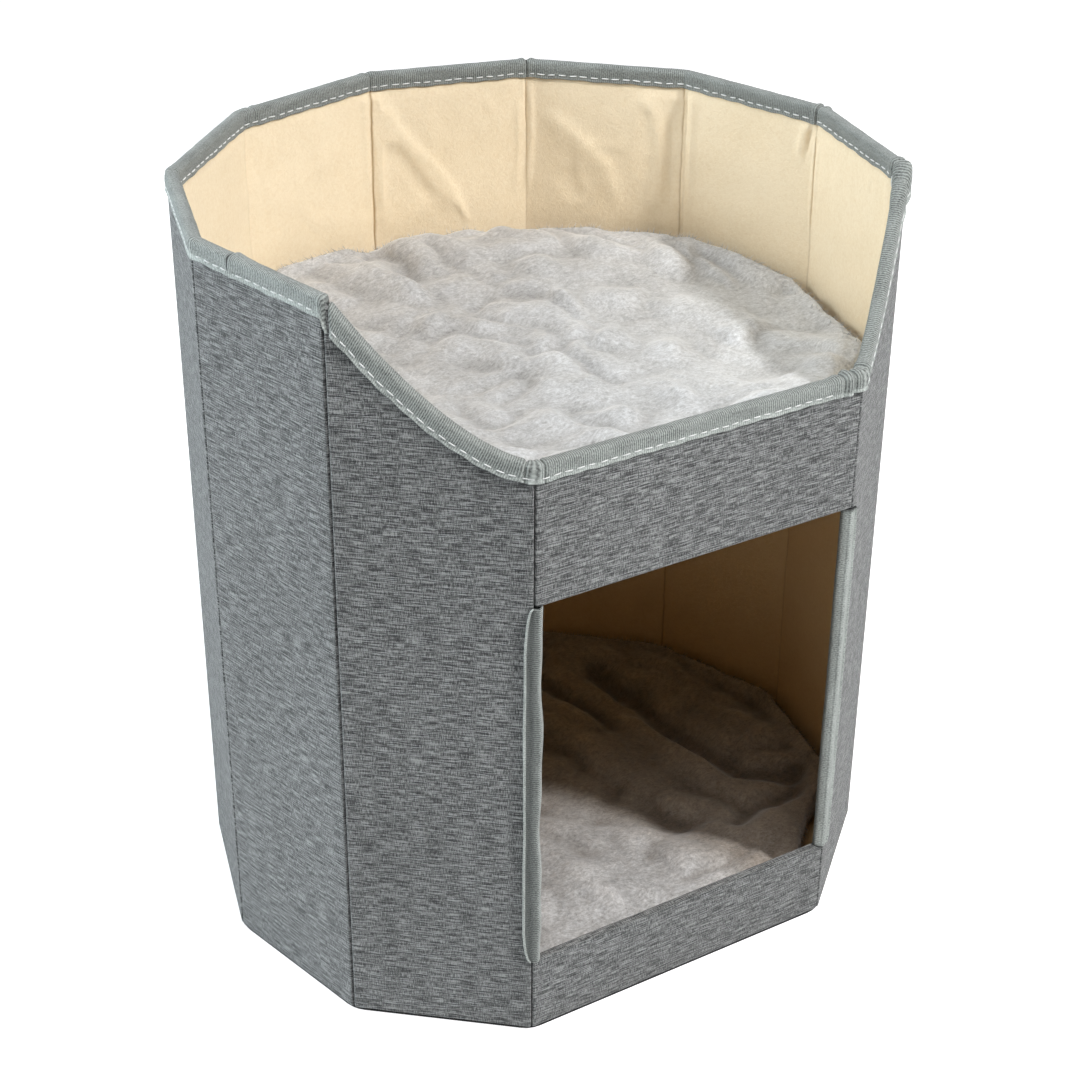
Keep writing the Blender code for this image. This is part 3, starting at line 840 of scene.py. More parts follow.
# rise, width left and right, then places as (run, height); folds at the back lie at 0.5, 0.6 and 0.7
liningCreases = [
    crease(-0.0007, 0.0008, 0.0008, (0.7019, 0.434), (0.7016, 0.394), (0.7010, 0.325), fade=shortFade),
    crease(0.0013, 0.0048, 0.0026, (0.6962, 0.434), (0.6950, 0.390), (0.6940, 0.340), fade=(0.1, 0.3)),
    crease(0.0006, 0.0020, 0.0030, (0.7055, 0.430), (0.7050, 0.390), (0.7045, 0.350), fade=(0.1, 0.3)),
    crease(0.0015, 0.0100, 0.0040,
           (0.6930, 0.424), (0.6860, 0.404), (0.6640, 0.378), (0.6500, 0.361), (0.6390, 0.340)),
    crease(-0.0009, 0.0060, 0.0050, (0.6880, 0.396), (0.6740, 0.376), (0.6600, 0.352)),
    crease(0.0009, 0.0022, 0.0016, (0.6500, 0.361), (0.6440, 0.350), (0.6380, 0.338), fade=(0.4, 0.1)),
    crease(0.0005, 0.0020, 0.0012, (0.6270, 0.418), (0.6210, 0.409)),
    crease(-0.0006, 0.0007, 0.0007, (0.6010, 0.436), (0.6004, 0.397), fade=(0.02, 0.2)),
    crease(0.0009, 0.0035, 0.0022, (0.5975, 0.430), (0.5965, 0.395), (0.5990, 0.350)),
    crease(0.0006, 0.0022, 0.0040, (0.6060, 0.420), (0.6050, 0.385), (0.6080, 0.350)),
    crease(0.0010, 0.0090, 0.0045, (0.5900, 0.410), (0.5700, 0.395), (0.5480, 0.375), (0.5400, 0.345)),
    crease(-0.0006, 0.0070, 0.0060, (0.5740, 0.372), (0.5650, 0.350)),
    crease(0.0011, 0.0032, 0.0055, (0.5285, 0.424), (0.5180, 0.410), (0.5150, 0.385), (0.5190, 0.345)),
    crease(-0.0008, 0.0040, 0.0040, (0.5090, 0.415), (0.5070, 0.380), (0.5090, 0.340)),
    crease(-0.0007, 0.0007, 0.0007, (0.4975, 0.436), (0.4972, 0.380), (0.4972, 0.325), fade=shortFade),
    crease(0.0007, 0.0030, 0.0022, (0.4925, 0.430), (0.4925, 0.345)),
    crease(-0.0010, 0.0012, 0.0012, (0.4030, 0.436), (0.4048, 0.424), (0.4082, 0.405), fade=(0.02, 0.4)),
    crease(0.0014, 0.0026, 0.0030, (0.4075, 0.433), (0.4100, 0.420), (0.4130, 0.402), fade=(0.05, 0.4)),
    crease(0.0008, 0.0014, 0.0020, (0.3995, 0.430), (0.4010, 0.413), (0.4015, 0.380), (0.3995, 0.350)),
    crease(0.0005, 0.0012, 0.0016, (0.3960, 0.420), (0.3975, 0.395), (0.3960, 0.370)),
    crease(0.0005, 0.0020, 0.0020, (0.3300, 0.424), (0.3320, 0.412)),
    crease(0.0008, 0.0030, 0.0030, (0.3100, 0.430), (0.3080, 0.400), (0.3110, 0.370)),
    crease(-0.0005, 0.0012, 0.0022, (0.7950, 0.412), (0.7890, 0.388), (0.7850, 0.350)),
    crease(0.0004, 0.0020, 0.0014, (0.7780, 0.420), (0.7810, 0.400)),
    crease(0.0006, 0.0030, 0.0030, (0.9010, 0.430), (0.8990, 0.400), (0.9005, 0.350)),
]


def liningRelief(run, height, top):
    # How far the loose lining stands out from the walls
    upper = smoothStep(*lining["bedLevel"], height)

    def waves(perRun, perHeight, shift, seed, layers):
        spots = np.column_stack([run * perRun, height * perHeight, np.full(len(run), shift)])
        return layeredNoise(spots, seed, layers)

    relief = lining["standOff"] + lining["waves"] * waves(24, 9, 0.0, 3, 3)
    relief += upper * lining["ripples"] * waves(60, 34, 4.0, 9, 3)
    # paper-like wrinkles: sharp where two slow waves meet
    relief += upper * lining["crumple"] * (0.25 - np.minimum(np.abs(waves(31, 27, 8.0, 14, 2)), 0.5))
    relief += upper * lining["creaseGain"] * creaseField(run, height, liningCreases)
    loose = smoothStep(lining["underTape"] - 0.002, lining["underTape"] + 0.004, top - height)
    return np.clip(relief * loose, *lining["reach"])


def buildLining():
    extras = [fold + step for fold in foldRuns[2:] for step in nearby(*lining["foldZone"])]
    extras += list(np.arange(*lining["creased"]))
    columns, _ = ringColumns(lining["rounding"], lining["spacing"], 4, extras)
    doorLow, doorRows, upper = lining["rows"]
    doorHigh = doorLow + doorRows
    heights = list(np.linspace(wallFoot + lining["footGap"], sillTop - lining["sillLip"], doorLow + 1))
    heights += list(np.linspace(heights[-1], doorTop + lining["lip"], doorRows + 1))[1:]
    heights += [None] * upper
    across = len(columns)
    points, uv, tops = [], [], []
    for row, height in enumerate(heights):
        for column in columns:
            z = height
            if height is None:
                top = column["rim"] - lining["topGap"]
                z = heights[doorHigh] + (top - heights[doorHigh]) * (row - doorHigh) / upper
            points.append((*column["spot"], z))
            uv.append((column["nominal"], z))
            tops.append(column["rim"])
    points, uv = np.array(points), np.array(uv)
    normals = np.tile(np.array([column["normal"] for column in columns]), (len(heights), 1))
    relief = liningRelief(uv[:, 0], points[:, 2], np.array(tops))
    points[:, :2] -= normals * (lining["inset"] + relief)[:, None]
    edge = lining["doorEdge"]
    inFront = [
        column["nominal"] < walls[0]["length"] + edge or column["nominal"] > ringLength - edge
        for column in columns
    ]

    def skip(row, column):
        return doorLow <= row < doorHigh and inFront[column] and inFront[(column + 1) % across]

    obj = gridObject("lining_cloth", points, across, uv, ringLength, skip)
    thicken(obj, lining["thickness"], 0.0)
    return finishPiece(obj, "house", liningMaterial, ["lining"])


print("building lining")
liningCloth = buildLining()


# binding tape

tape = {
    "reach": 0.0105,  # how far it comes down on each side
    "round": 0.0030,
    "square": 0.72,  # below 1 the crest is flatter than a half circle
    "thickness": 0.0007,
    "gap": 0.0003,
    "rounding": 0.0035,
    "spacing": 0.0030,
    "stitchDrop": 0.0080,
    "stitchPitch": 0.0067,
    "stitchLength": 0.0050,
    "stitchRadius": 0.00042,
    "stitchLoose": (0.0004, 0.0005, 0.00015),  # how uneven the stitches are: start, length and height
    "wander": 0.00025,
    "rumple": 0.00012,
    "liningDepth": 0.0009,
    "markZone": (0.0045, 0.0006),  # extra columns: how far from each mark and how close together
    "slitShadeWay": (0.0026, 0.0036, 0.0150, 0.0170),  # the way across where a slit's painted shade starts and ends
}
tapeLap = {"run": 1.0320, "lift": 0.0013, "length": 0.010}  # the upper end of the tape lies on the lower one
# places where the tape is pinched or bunched: run, how deep, how wide, the lift beside it, how black its
# painted shade is
tapePinches = [
    (1.0306, 0.0003, 0.0012, 0.0, 0.98),
    (0.6000, 0.0013, 0.0008, 0.0006, 0.55),
    (0.4005, 0.0016, 0.0009, 0.0009, 0.7),
    (0.7005, 0.0006, 0.0010, 0.0003, 0.0),
    (0.7920, 0.0005, 0.0012, 0.0003, 0.0),
    (0.9010, 0.0006, 0.0012, 0.0004, 0.0),
    (1.1015, 0.0022, 0.0007, 0.0002, 0.9),
    (1.1965, 0.0013, 0.0007, 0.0002, 0.0),
    (0.0035, 0.0013, 0.0007, 0.0002, 0.0),
    (0.1880, 0.0012, 0.0012, 0.0010, 0.0),
    (0.1950, 0.0014, 0.0011, 0.0012, 0.0),
    (0.2040, 0.0010, 0.0012, 0.0009, 0.0),
    (0.2950, 0.0008, 0.0012, 0.0008, 0.0),
    (0.3030, 0.0010, 0.0012, 0.0011, 0.0),
]
tapeOut = wallDepth + tape["gap"] + tape["thickness"] / 2
tapeIn = tape["liningDepth"] + tape["gap"] + tape["thickness"] / 2
# the doorway tapes' cloth coordinates start here, so that their bead and channel get their own tones and
# painted shade
leftTapeRow, rightTapeRow = 0.05, 0.09


def tapeSection(legs):
    # (outward, drop below the edge, way across, outward normal), outside to inside
    middle, half = (tapeOut - tapeIn) / 2, (tapeOut + tapeIn) / 2
    section = [(tapeOut + out, tape["reach"] * share) for out, share in legs]
    for step in range(11):
        angle = math.pi * step / 10
        out = middle + half * math.copysign(abs(math.cos(angle)) ** tape["square"], math.cos(angle))
        rise = (tape["round"] - tape["thickness"] / 2) * math.sin(angle) ** tape["square"]
        section.append((out, tape["round"] - rise))
    section += [(-tapeIn - out * 0.5, tape["reach"] * share) for out, share in reversed(legs)]
    section = np.array(section)
    across = np.concatenate([[0.0], np.cumsum(np.hypot(*np.diff(section, axis=0).T))])
    slope = np.gradient(section, axis=0)
    normal = np.column_stack([-slope[:, 1], slope[:, 0]])
    normal /= np.linalg.norm(normal, axis=1)[:, None]
    return section, across, normal


# (outward, share of the reach) down the outer leg, from its edge up
rimLegs = [
    (0.00030, 1.0), (0.00015, 0.95), (-0.00005, 0.88), (-0.00020, tape["stitchDrop"] / tape["reach"]),
    (-0.00005, 0.66), (0.00010, 0.52), (0.00012, 0.40),
]
stitchRow = 3  # the rim's point on the stitch line
doorLegs = [
    (0.0002, 1.0), (0.0008, 0.985), (0.0010, 0.955), (0.0007, 0.92), (0.0000, 0.88), (-0.0002, 0.80),
    (-0.0003, 0.66), (-0.0002, 0.54), (0.0001, 0.44),
]


def fromMark(run, mark):
    # the signed distance along the ring
    return (run - mark + ringLength / 2) % ringLength - ringLength / 2


def tapeOffsets(run, way):
    # How far the tape stands off its plain section
    waves = np.column_stack([run * 130, way * 160, np.zeros(len(run))])
    offset = tape["rumple"] * layeredNoise(waves, 21, 2)
    past = fromMark(run, tapeLap["run"])
    offset += tapeLap["lift"] * np.where(past > 0, np.exp(-past / tapeLap["length"]), 0.0)
    for mark, depth, width, lift, _ in tapePinches:
        x = fromMark(run, mark)
        offset += lift * (bell(x, 2.6 * width, 2.2 * width) + bell(x, -2.6 * width, 2.2 * width))
        offset -= depth * bell(x, 0.0, width)
    return offset


def tapeSlitShade(run, way):
    # Painted shade where the tape is so deep in a pinch that it looks black: from 0 to 1
    dark = np.zeros(len(run))
    for mark, _, width, _, blackShade in tapePinches:
        dark = np.maximum(dark, blackShade * np.exp(-(fromMark(run, mark) / (1.1 * width)) ** 4))
    low, fullLow, fullHigh, high = tape["slitShadeWay"]
    return dark * smoothStep(low, fullLow, way) * (1 - smoothStep(fullHigh, high, way))


def buildRimTape():
    marks = [tapeLap["run"]] + [pinch[0] for pinch in tapePinches]
    extras = [mark + step for mark in marks for step in nearby(*tape["markZone"])]
    columns, total = ringColumns(tape["rounding"], tape["spacing"], 5, extras)
    section, across, normal = tapeSection(rimLegs)
    rimRun = 0.0
    for k, column in enumerate(columns):
        if k:
            before = columns[k - 1]
            rimRun += math.hypot(column["run"] - before["run"], column["rim"] - before["rim"])
        column["rimRun"] = rimRun
    full = rimRun + math.hypot(total - columns[-1]["run"], columns[0]["rim"] - columns[-1]["rim"])
    count, wide = len(columns), len(section)
    rim, rimRun, slope, nominal, spots, outward = (
        np.repeat([column[key] for column in columns], wide, axis=0)
        for key in ("rim", "rimRun", "slope", "nominal", "spot", "normal")
    )
    (out, drop), way = np.tile(section, (count, 1)).T, np.tile(across, count)
    factor = np.hypot(1.0, slope)
    leg = np.maximum(0.0, drop - tape["round"]) / (tape["reach"] - tape["round"])
    waver = tape["wander"] * (np.sin(rimRun * 410) + 0.8 * np.sin(rimRun * 173 + 1.3))
    offset = tapeOffsets(nominal, way)
    out = out + np.tile(normal[:, 0], count) * offset
    rise = -(drop + waver * leg) * factor - np.tile(normal[:, 1], count) * offset
    points = np.column_stack([spots + outward * out[:, None], rim + rise])
    uv = np.column_stack([rimRun - slope * drop / factor, way])
    points = np.concatenate([points, points[:wide]])
    uv = np.concatenate([uv, uv[:wide] + (full, 0)])
    obj = gridObject("rim_binding", points, wide, uv)
    markPoints(obj, "slitShade", np.concatenate([tapeSlitShade(nominal, way), np.zeros(wide)]))
    weld = obj.modifiers.new("join", "WELD")
    weld.merge_threshold = 0.00002
    thicken(obj, tape["thickness"], 0.0)
    finishPiece(obj, "house", tapeMaterial, ["rim_tape"])
    grid = points.reshape(count + 1, wide, 3)
    runs = np.array([column["rimRun"] for column in columns] + [full])
    normals = np.array([column["normal"] for column in columns + [columns[0]]])
    buildStitches("rim_stitches_outside", runs, grid[:, stitchRow], normals)
    buildStitches("rim_stitches_inside", runs, grid[:, wide - 1 - stitchRow], -normals)


# along a stitch: share of its length, height and thickness in thread radii; its ends are sunk into the tape
threadBow = ((0.0, -0.9, 0.35), (0.12, 0.1, 0.8), (0.5, 0.5, 1.0), (0.88, 0.1, 0.8), (1.0, -0.9, 0.35))


def threadDash(bm, start, end, lift):
    side = (end - start).normalized().cross(lift).normalized()
    radius = tape["stitchRadius"]
    rings = []
    for share, high, thick in threadBow:
        middle = start.lerp(end, share) + lift * (radius * high)
        ring = []
        for corner in range(6):
            angle = tau * corner / 6
            reach = side * math.cos(angle) + lift * math.sin(angle)
            ring.append(bm.verts.new(middle + reach * radius * thick))
        rings.append(ring)
    bridgeRings(bm, rings)


def buildStitches(name, runs, spots, normals):
    # Stitches at an even pitch along one row of the tape
    full = runs[-1]
    normals = np.column_stack([normals, np.zeros(len(normals))])
    spots = spots + normals * tape["thickness"] / 2
    bm = bmesh.new()
    count = round(full / tape["stitchPitch"])
    pitch = full / count
    rng = np.random.default_rng(len(name))

    def between(at, values):
        return Vector([np.interp(at, runs, values[:, axis]) for axis in range(3)])

    for k in range(count):
        late, longer, higher = (rng.uniform(-loose, loose) for loose in tape["stitchLoose"])
        first = k * pitch + late
        last = first + tape["stitchLength"] + longer
        start, end = between(max(first, 0.0), spots), between(min(last, full), spots)
        lift = between((first + last) / 2, normals).normalized()
        sway = Vector((0, 0, higher))
        threadDash(bm, start + sway, end - sway, lift)
    finishPiece(meshObject(name, bm), "house", threadMaterial)


print("building rim binding")
buildRimTape()

doorwayTape = {
    "rows": 72, "foot": 0.0003, "tuck": 0.0008, "wander": 0.0006,
    "taperTop": 0.036, "tipTop": 0.22, "tipFoot": 0.25,  # the legs' share that shows at the ends
}
# how far each tape stands into the doorway, how much of the legs shows, the length of its lower taper,
# the painted shade line at its top and where its wander starts
doorwaySides = {
    "right": {"stand": 0.0046, "legs": 1.0, "taperFoot": 0.007, "topShade": 0.0018, "phase": 0.6,
              "wall": walls[1], "end": 0, "way": 1, "row": rightTapeRow},
    "left": {"stand": 0.0054, "legs": 0.78, "taperFoot": 0.022, "topShade": 0.0, "phase": 2.2,
             "wall": walls[-1], "end": 1, "way": -1, "row": leftTapeRow},
}


def rounded(share, tip):
    # from the tip at 0 to the full width at 1, along a quarter circle
    return tip + (1 - tip) * math.sqrt(max(0.0, 1 - (1 - share) ** 2))


def buildDoorwayTape(name, side):
    wall = side["wall"]
    fold = wall["start"] + wall["along"] * wall["length"] * side["end"]
    back = wall["along"] * side["way"]
    section, across, _ = tapeSection(doorLegs)
    bottom, top = sillTop + doorwayTape["foot"], doorTop + doorwayTape["tuck"]
    points, uv = [], []
    for row in range(doorwayTape["rows"] + 1):
        share = row / doorwayTape["rows"]
        swing = 0.5 - 0.5 * math.cos(math.pi * share)
        height = bottom + (top - bottom) * (0.6 * swing + 0.4 * share)
        fromTop = min((top - height) / doorwayTape["taperTop"], 1.0)
        fromFoot = min((height - bottom) / side["taperFoot"], 1.0)
        legShare = min(rounded(fromTop, doorwayTape["tipTop"]), rounded(fromFoot, doorwayTape["tipFoot"]))
        sway = doorwayTape["wander"] * min(fromTop, fromFoot)
        sway *= math.sin(height * 62 + side["phase"]) + 0.6 * math.sin(height * 140 + 2 * side["phase"])
        for (out, drop), way in zip(section, across):
            leg = max(drop - tape["round"], 0.0)
            crest = 1 - min(1.0, drop / tape["reach"])
            distance = drop - leg * (1 - legShare * side["legs"]) - side["stand"] - sway * crest
            flutter = 0.25 * sway * (1 - crest)
            place = fold + back * (distance + flutter) + wall["outward"] * out
            points.append((*place, height))
            uv.append((height, side["row"] + way))
    obj = gridObject("doorway_binding_" + name, points, len(section), uv)
    # painted shade at the top, where the tape tucks under the header
    dark = np.zeros(len(points))
    if side["topShade"]:
        fromTop = np.array(points)[:, 2] - top
        dark = 0.92 * smoothStep(-side["topShade"], 0.4 * -side["topShade"], fromTop)
    markPoints(obj, "slitShade", dark)
    thicken(obj, tape["thickness"], 0.0)
    finishPiece(obj, "house", tapeMaterial, ["doorway_tape_" + name])


for name, side in doorwaySides.items():
    buildDoorwayTape(name, side)


# cushions

cushion = {
    "clear": 0.0022,  # gap to the lining
    "start": 0.0040,  # how much smaller the pad starts than it ends
    "rounding": 0.022,
    "voxel": 0.0060,
    "pressure": 4.0,
    "frames": 20,
    "anchors": 14,
    "anchorZone": ((-0.15, -0.13), (0.15, 0.12)),
    "anchorRadius": 0.007,
    "cap": 0.008,
    "clump": 0.00045,
    "roll": 0.28,  # width of the rounded edge, as a share of the pad's thickness
    "edgeRoll": 0.0075,  # width and
    "edgeDrop": 0.0080,  # drop of the edge where the pad is pressed against the walls
    "shadeSteps": 90, "shadeDepth": 0.0024,  # the reach and the height range of the painted shade in hollows and painted light on crests
    "mound": 0.0030, "moundStep": 0.086, "moundValley": 0.006, "moundLength": 0.22, "moundBend": 0.7,
    "heading": math.radians(-83.0),  # the mounds run to and fro between the doorway and the back
    # noise cells for each metre along and over the mounds
    "broadWaves": (13, 22), "puffWaves": (30, 44), "warpWaves": 30, "smallWaves": 105,
    "warp": 0.5, "puffRound": 0.012, "puffLevel": 0.3,
    "topZone": (0.003, 0.004),  # below the middle and below the top: the relief grows between them
    "innerZone": (0.004, 0.022),  # from the wall: so it grows to its full height
    "outerShare": 0.35, "edgeShare": 0.3,  # the share of the relief that is left at the walls
    "foot": 0.0002,  # how far it stands off what it lies on
    "roughFoot": 0.004, "roughTop": 0.005,  # how much lower the pad is before it fills
    "crown": 0.0025,  # the pad's usual top lies so far below the solid's
    "highest": 0.0055,  # and its folds rise at most so far above it
    "sideGap": 0.0005,
    "pileDepth": 0.0008,  # the pile may come so much nearer to the lining
    "backRamp": (-0.06, 0.10),  # over which the back rises
    "pressed": (0.008, 0.026),  # so near the walls the edge takes the height that the look names
}


def roughPad(name, low, high, inset):
    columns, _ = ringColumns(cushion["rounding"], 0.02, 5)
    outline = [Vector(column["spot"] - column["normal"] * inset) for column in columns]
    bm = bmesh.new()
    roll = (high - low) * cushion["roll"]
    half, middle = (high - low) / 2, (low + high) / 2
    rings = []
    for step in range(7):
        angle = -math.pi / 2 + math.pi * step / 6
        drawn = roll * (1 - math.cos(angle))
        height = middle + half * math.sin(angle)
        inward = [spot * (1 - drawn / spot.length) for spot in outline]
        rings.append([bm.verts.new((spot.x, spot.y, height)) for spot in inward])
    bridgeRings(bm, rings)
    obj = meshObject(name, bm)
    remesh = obj.modifiers.new("even", "REMESH")
    remesh.mode = "VOXEL"
    remesh.voxel_size = cushion["voxel"]
    applyModifiers(obj)
    return obj


def applyModifiers(obj):
    bpy.context.view_layer.update()
    depsgraph = bpy.context.evaluated_depsgraph_get()
    mesh = bpy.data.meshes.new_from_object(obj.evaluated_get(depsgraph))
    old = obj.data
    obj.modifiers.clear()
    obj.data = mesh
    bpy.data.meshes.remove(old)


def subdivide(obj):
    finer = obj.modifiers.new("finer", "SUBSURF")
    finer.levels = finer.render_levels = 1
    applyModifiers(obj)


def meshPoints(obj, key="co"):
    return numbersOf(obj.data.vertices, key, 3, np.float32).astype(float)


def setPoints(obj, points):
    obj.data.vertices.foreach_set("co", points.astype(np.float32).ravel())
    obj.data.update()


def swell(obj, seed):
    # The pad fills like a sewn cover: pressure pushes it out while anchors hold it down in places
    before = meshPoints(obj)
    group = obj.vertex_groups.new(name="held")
    rng = np.random.default_rng(seed)
    for _ in range(cushion["anchors"]):
        spot = rng.uniform(*cushion["anchorZone"])
        near = np.linalg.norm(before[:, :2] - spot, axis=1) < cushion["anchorRadius"]
        group.add([int(k) for k in np.nonzero(near)[0]], 1.0, "REPLACE")
    cloth = obj.modifiers.new("cloth", "CLOTH")
    cloth.settings.quality = 5
    cloth.settings.use_pressure = True
    cloth.settings.uniform_pressure_force = cushion["pressure"]
    cloth.settings.vertex_group_mass = "held"
    cloth.settings.effector_weights.gravity = 0.0
    cloth.settings.tension_stiffness = 12
    cloth.settings.compression_stiffness = 12
    cloth.settings.bending_stiffness = 0.3
    cloth.point_cache.frame_start = 1
    cloth.point_cache.frame_end = cushion["frames"]
    for step in range(1, cushion["frames"] + 1):
        scene.frame_set(step)
    swollen = obj.evaluated_get(bpy.context.evaluated_depsgraph_get())
    move = numbersOf(swollen.data.vertices, "co", 3, np.float32).astype(float) - before
    obj.modifiers.clear()
    obj.vertex_groups.clear()
    scene.frame_set(1)
    length = np.linalg.norm(move, axis=1)
    move *= np.minimum(1.0, cushion["cap"] / np.maximum(length, 1e-9))[:, None]
    setPoints(obj, before + move)


def keepInside(points, clear):
    # No point comes nearer to a wall's fold plane than clear
    for _ in range(2):
        for wall in walls:
            past = (points[:, :2] - wall["start"]) @ wall["outward"] + clear
            points[:, :2] -= np.maximum(past, 0.0)[:, None] * wall["outward"]
    return points


def wallDistance(points):
    # How far each point is from the nearest wall, and at which run of the plan
    best = np.full(len(points), 9.0)
    run = np.zeros(len(points))
    for wall, fold in zip(walls, foldRuns):
        apart = points[:, :2] - wall["start"]
        away, along = -(apart @ wall["outward"]), apart @ wall["along"]
        closer = away < best
        best = np.where(closer, away, best)
        run = np.where(closer, fold + along, run)
    return best, run


def rippled(points, look, low, high):
    # Mounds that run to and fro, soft puffs on them and the lumps that the look names, pressed up at the edge
    heading, seed = cushion["heading"], look["seed"]
    along = points[:, 0] * math.cos(heading) + points[:, 1] * math.sin(heading)
    over = points[:, 1] * math.cos(heading) - points[:, 0] * math.sin(heading)
    flat = np.zeros(len(points))
    bend = cushion["moundBend"] * np.sin(tau * along / cushion["moundLength"])
    mounds = -0.5 * np.cos(tau * (over - cushion["moundValley"]) / cushion["moundStep"] + bend)
    spots = np.column_stack([points[:, :2] * cushion["warpWaves"], flat + 5])
    warp = cushion["warp"] * latticeNoise(spots, seed + 2)
    perAlong, perOver = cushion["broadWaves"]
    broad = latticeNoise(np.column_stack([along * perAlong, over * perOver, flat]), seed)
    perAlong, perOver = cushion["puffWaves"]
    puffs = latticeNoise(np.column_stack([along * perAlong + warp, over * perOver + warp, flat]), seed + 5)
    puffs = np.sqrt(puffs ** 2 + cushion["puffRound"]) - cushion["puffLevel"]
    small = latticeNoise(np.column_stack([points[:, :2] * cushion["smallWaves"], flat]), seed + 31)
    below, under = cushion["topZone"]
    top = smoothStep((low + high) / 2 - below, high - under, points[:, 2])
    lumps = creaseField(points[:, 0], points[:, 1], look["lumps"])
    lift = cushion["mound"] * mounds + look["broad"] * broad + look["puff"] * puffs + look["small"] * small
    rise = look["backRise"] * smoothStep(*cushion["backRamp"], points[:, 1])
    away, run = wallDistance(points)
    inner = smoothStep(*cushion["innerZone"], away)
    inner = cushion["outerShare"] + (1 - cushion["outerShare"]) * inner
    points[:, 2] += top * (inner * lift + lumps + rise)
    wanted = np.interp(run, *np.array(look["edge"]).T)
    rolled = np.clip((away - cushion["clear"] - lining["inset"]) / cushion["edgeRoll"], 0, 1)
    drop = cushion["edgeDrop"] * (1 - np.sqrt(1 - (1 - rolled) ** 2))
    wanted = wanted + rise + cushion["edgeShare"] * lift - drop
    share = top * (1 - smoothStep(*cushion["pressed"], away))
    points[:, 2] += share * (wanted - points[:, 2])
    return points


def furred(obj, seed):
    # Short pile lies in soft clumps: a small displacement along the surface's normal
    points, normals = meshPoints(obj), meshPoints(obj, "normal")
    clumps = layeredNoise(points * 130, seed + 9, 3)
    lift = smoothStep(-0.4, 0.3, normals[:, 2]) * cushion["clump"] * clumps
    return points + normals * lift[:, None]


pile = {
    "length": 0.0050, "radius": 0.00020, "spacing": 0.00168, "sink": 0.0008, "band": 0.012,
    "lengths": (0.65, 1.15), "radii": (0.75, 1.2),  # the range as shares of the plain ones
    "rise": 0.62, "lean": 0.75, "stray": 0.28,  # up, along the comb's way and at random
    "heading": 2.15, "swirl": 0.8, "swirlWaves": 18,
}


def unit(vectors):
    return vectors / np.linalg.norm(vectors, axis=1)[:, None]


def buildPile(source, storey, seed):
    # Fibres as closed slender spikes, sown along the pad's edge and combed by a slow swirl
    name = storey + "_plush_pile"
    source.data.calc_loop_triangles()
    corners = numbersOf(source.data.loop_triangles, "vertices", 3)
    a, b, c = meshPoints(source)[corners.T]
    cross = np.cross(b - a, c - a)
    area = np.linalg.norm(cross, axis=1) / 2
    normal = cross / np.maximum(area, 1e-12)[:, None] / 2
    away, _ = wallDistance((a + b + c) / 3)
    weight = area * smoothStep(-0.35, 0.0, normal[:, 2])
    weight *= 1 - smoothStep(pile["band"], 2 * pile["band"], away)
    count = int(weight.sum() / pile["spacing"] ** 2)
    rng = np.random.default_rng(seed)
    chosen = rng.choice(len(area), size=count, p=weight / weight.sum())
    u, v = rng.random(count), rng.random(count)
    flip = u + v > 1
    u[flip], v[flip] = 1 - u[flip], 1 - v[flip]
    root = a[chosen] + (b - a)[chosen] * u[:, None] + (c - a)[chosen] * v[:, None]
    up = normal[chosen]
    swirl = pile["swirl"] * layeredNoise(root * pile["swirlWaves"], seed + 3, 2) + pile["heading"]
    comb = np.column_stack([np.cos(swirl), -np.sin(swirl), np.zeros(count)])
    comb -= up * (comb * up).sum(axis=1)[:, None]
    way = unit(up * pile["rise"] + comb * pile["lean"] + rng.normal(0, pile["stray"], (count, 3)))
    length = pile["length"] * rng.uniform(*pile["lengths"], count)
    length *= 1 + 0.2 * latticeNoise(root * 80, seed + 8)
    side = unit(np.cross(way, rng.normal(0, 1, (count, 3))))
    other = np.cross(way, side)
    radius = pile["radius"] * rng.uniform(*pile["radii"], count)
    root = root - up * pile["sink"]
    rows = [root + way * length[:, None]]
    for corner in range(3):
        angle = tau * corner / 3
        rows.append(root + (side * math.cos(angle) + other * math.sin(angle)) * radius[:, None])
    start = np.arange(count)[:, None] * 4
    faces = np.concatenate([start + three for three in ((0, 1, 2), (0, 2, 3), (0, 3, 1), (3, 2, 1))], axis=1)
    mesh = bpy.data.meshes.new(name)
    mesh.from_pydata(np.stack(rows, axis=1).reshape(-1, 3).tolist(), [], faces.reshape(-1, 3).tolist())
    loops = numbersOf(mesh.loops, "vertex_index")
    setCloth(mesh, np.column_stack([rng.random(count)[loops // 4], loops % 4 == 0]))
    print(name, count, "fibres")
    material = makePileMaterial(storey + "PlushFibres", plushLooks[storey])
    finishPiece(addObject(name, mesh), storey + "_cushion", material)


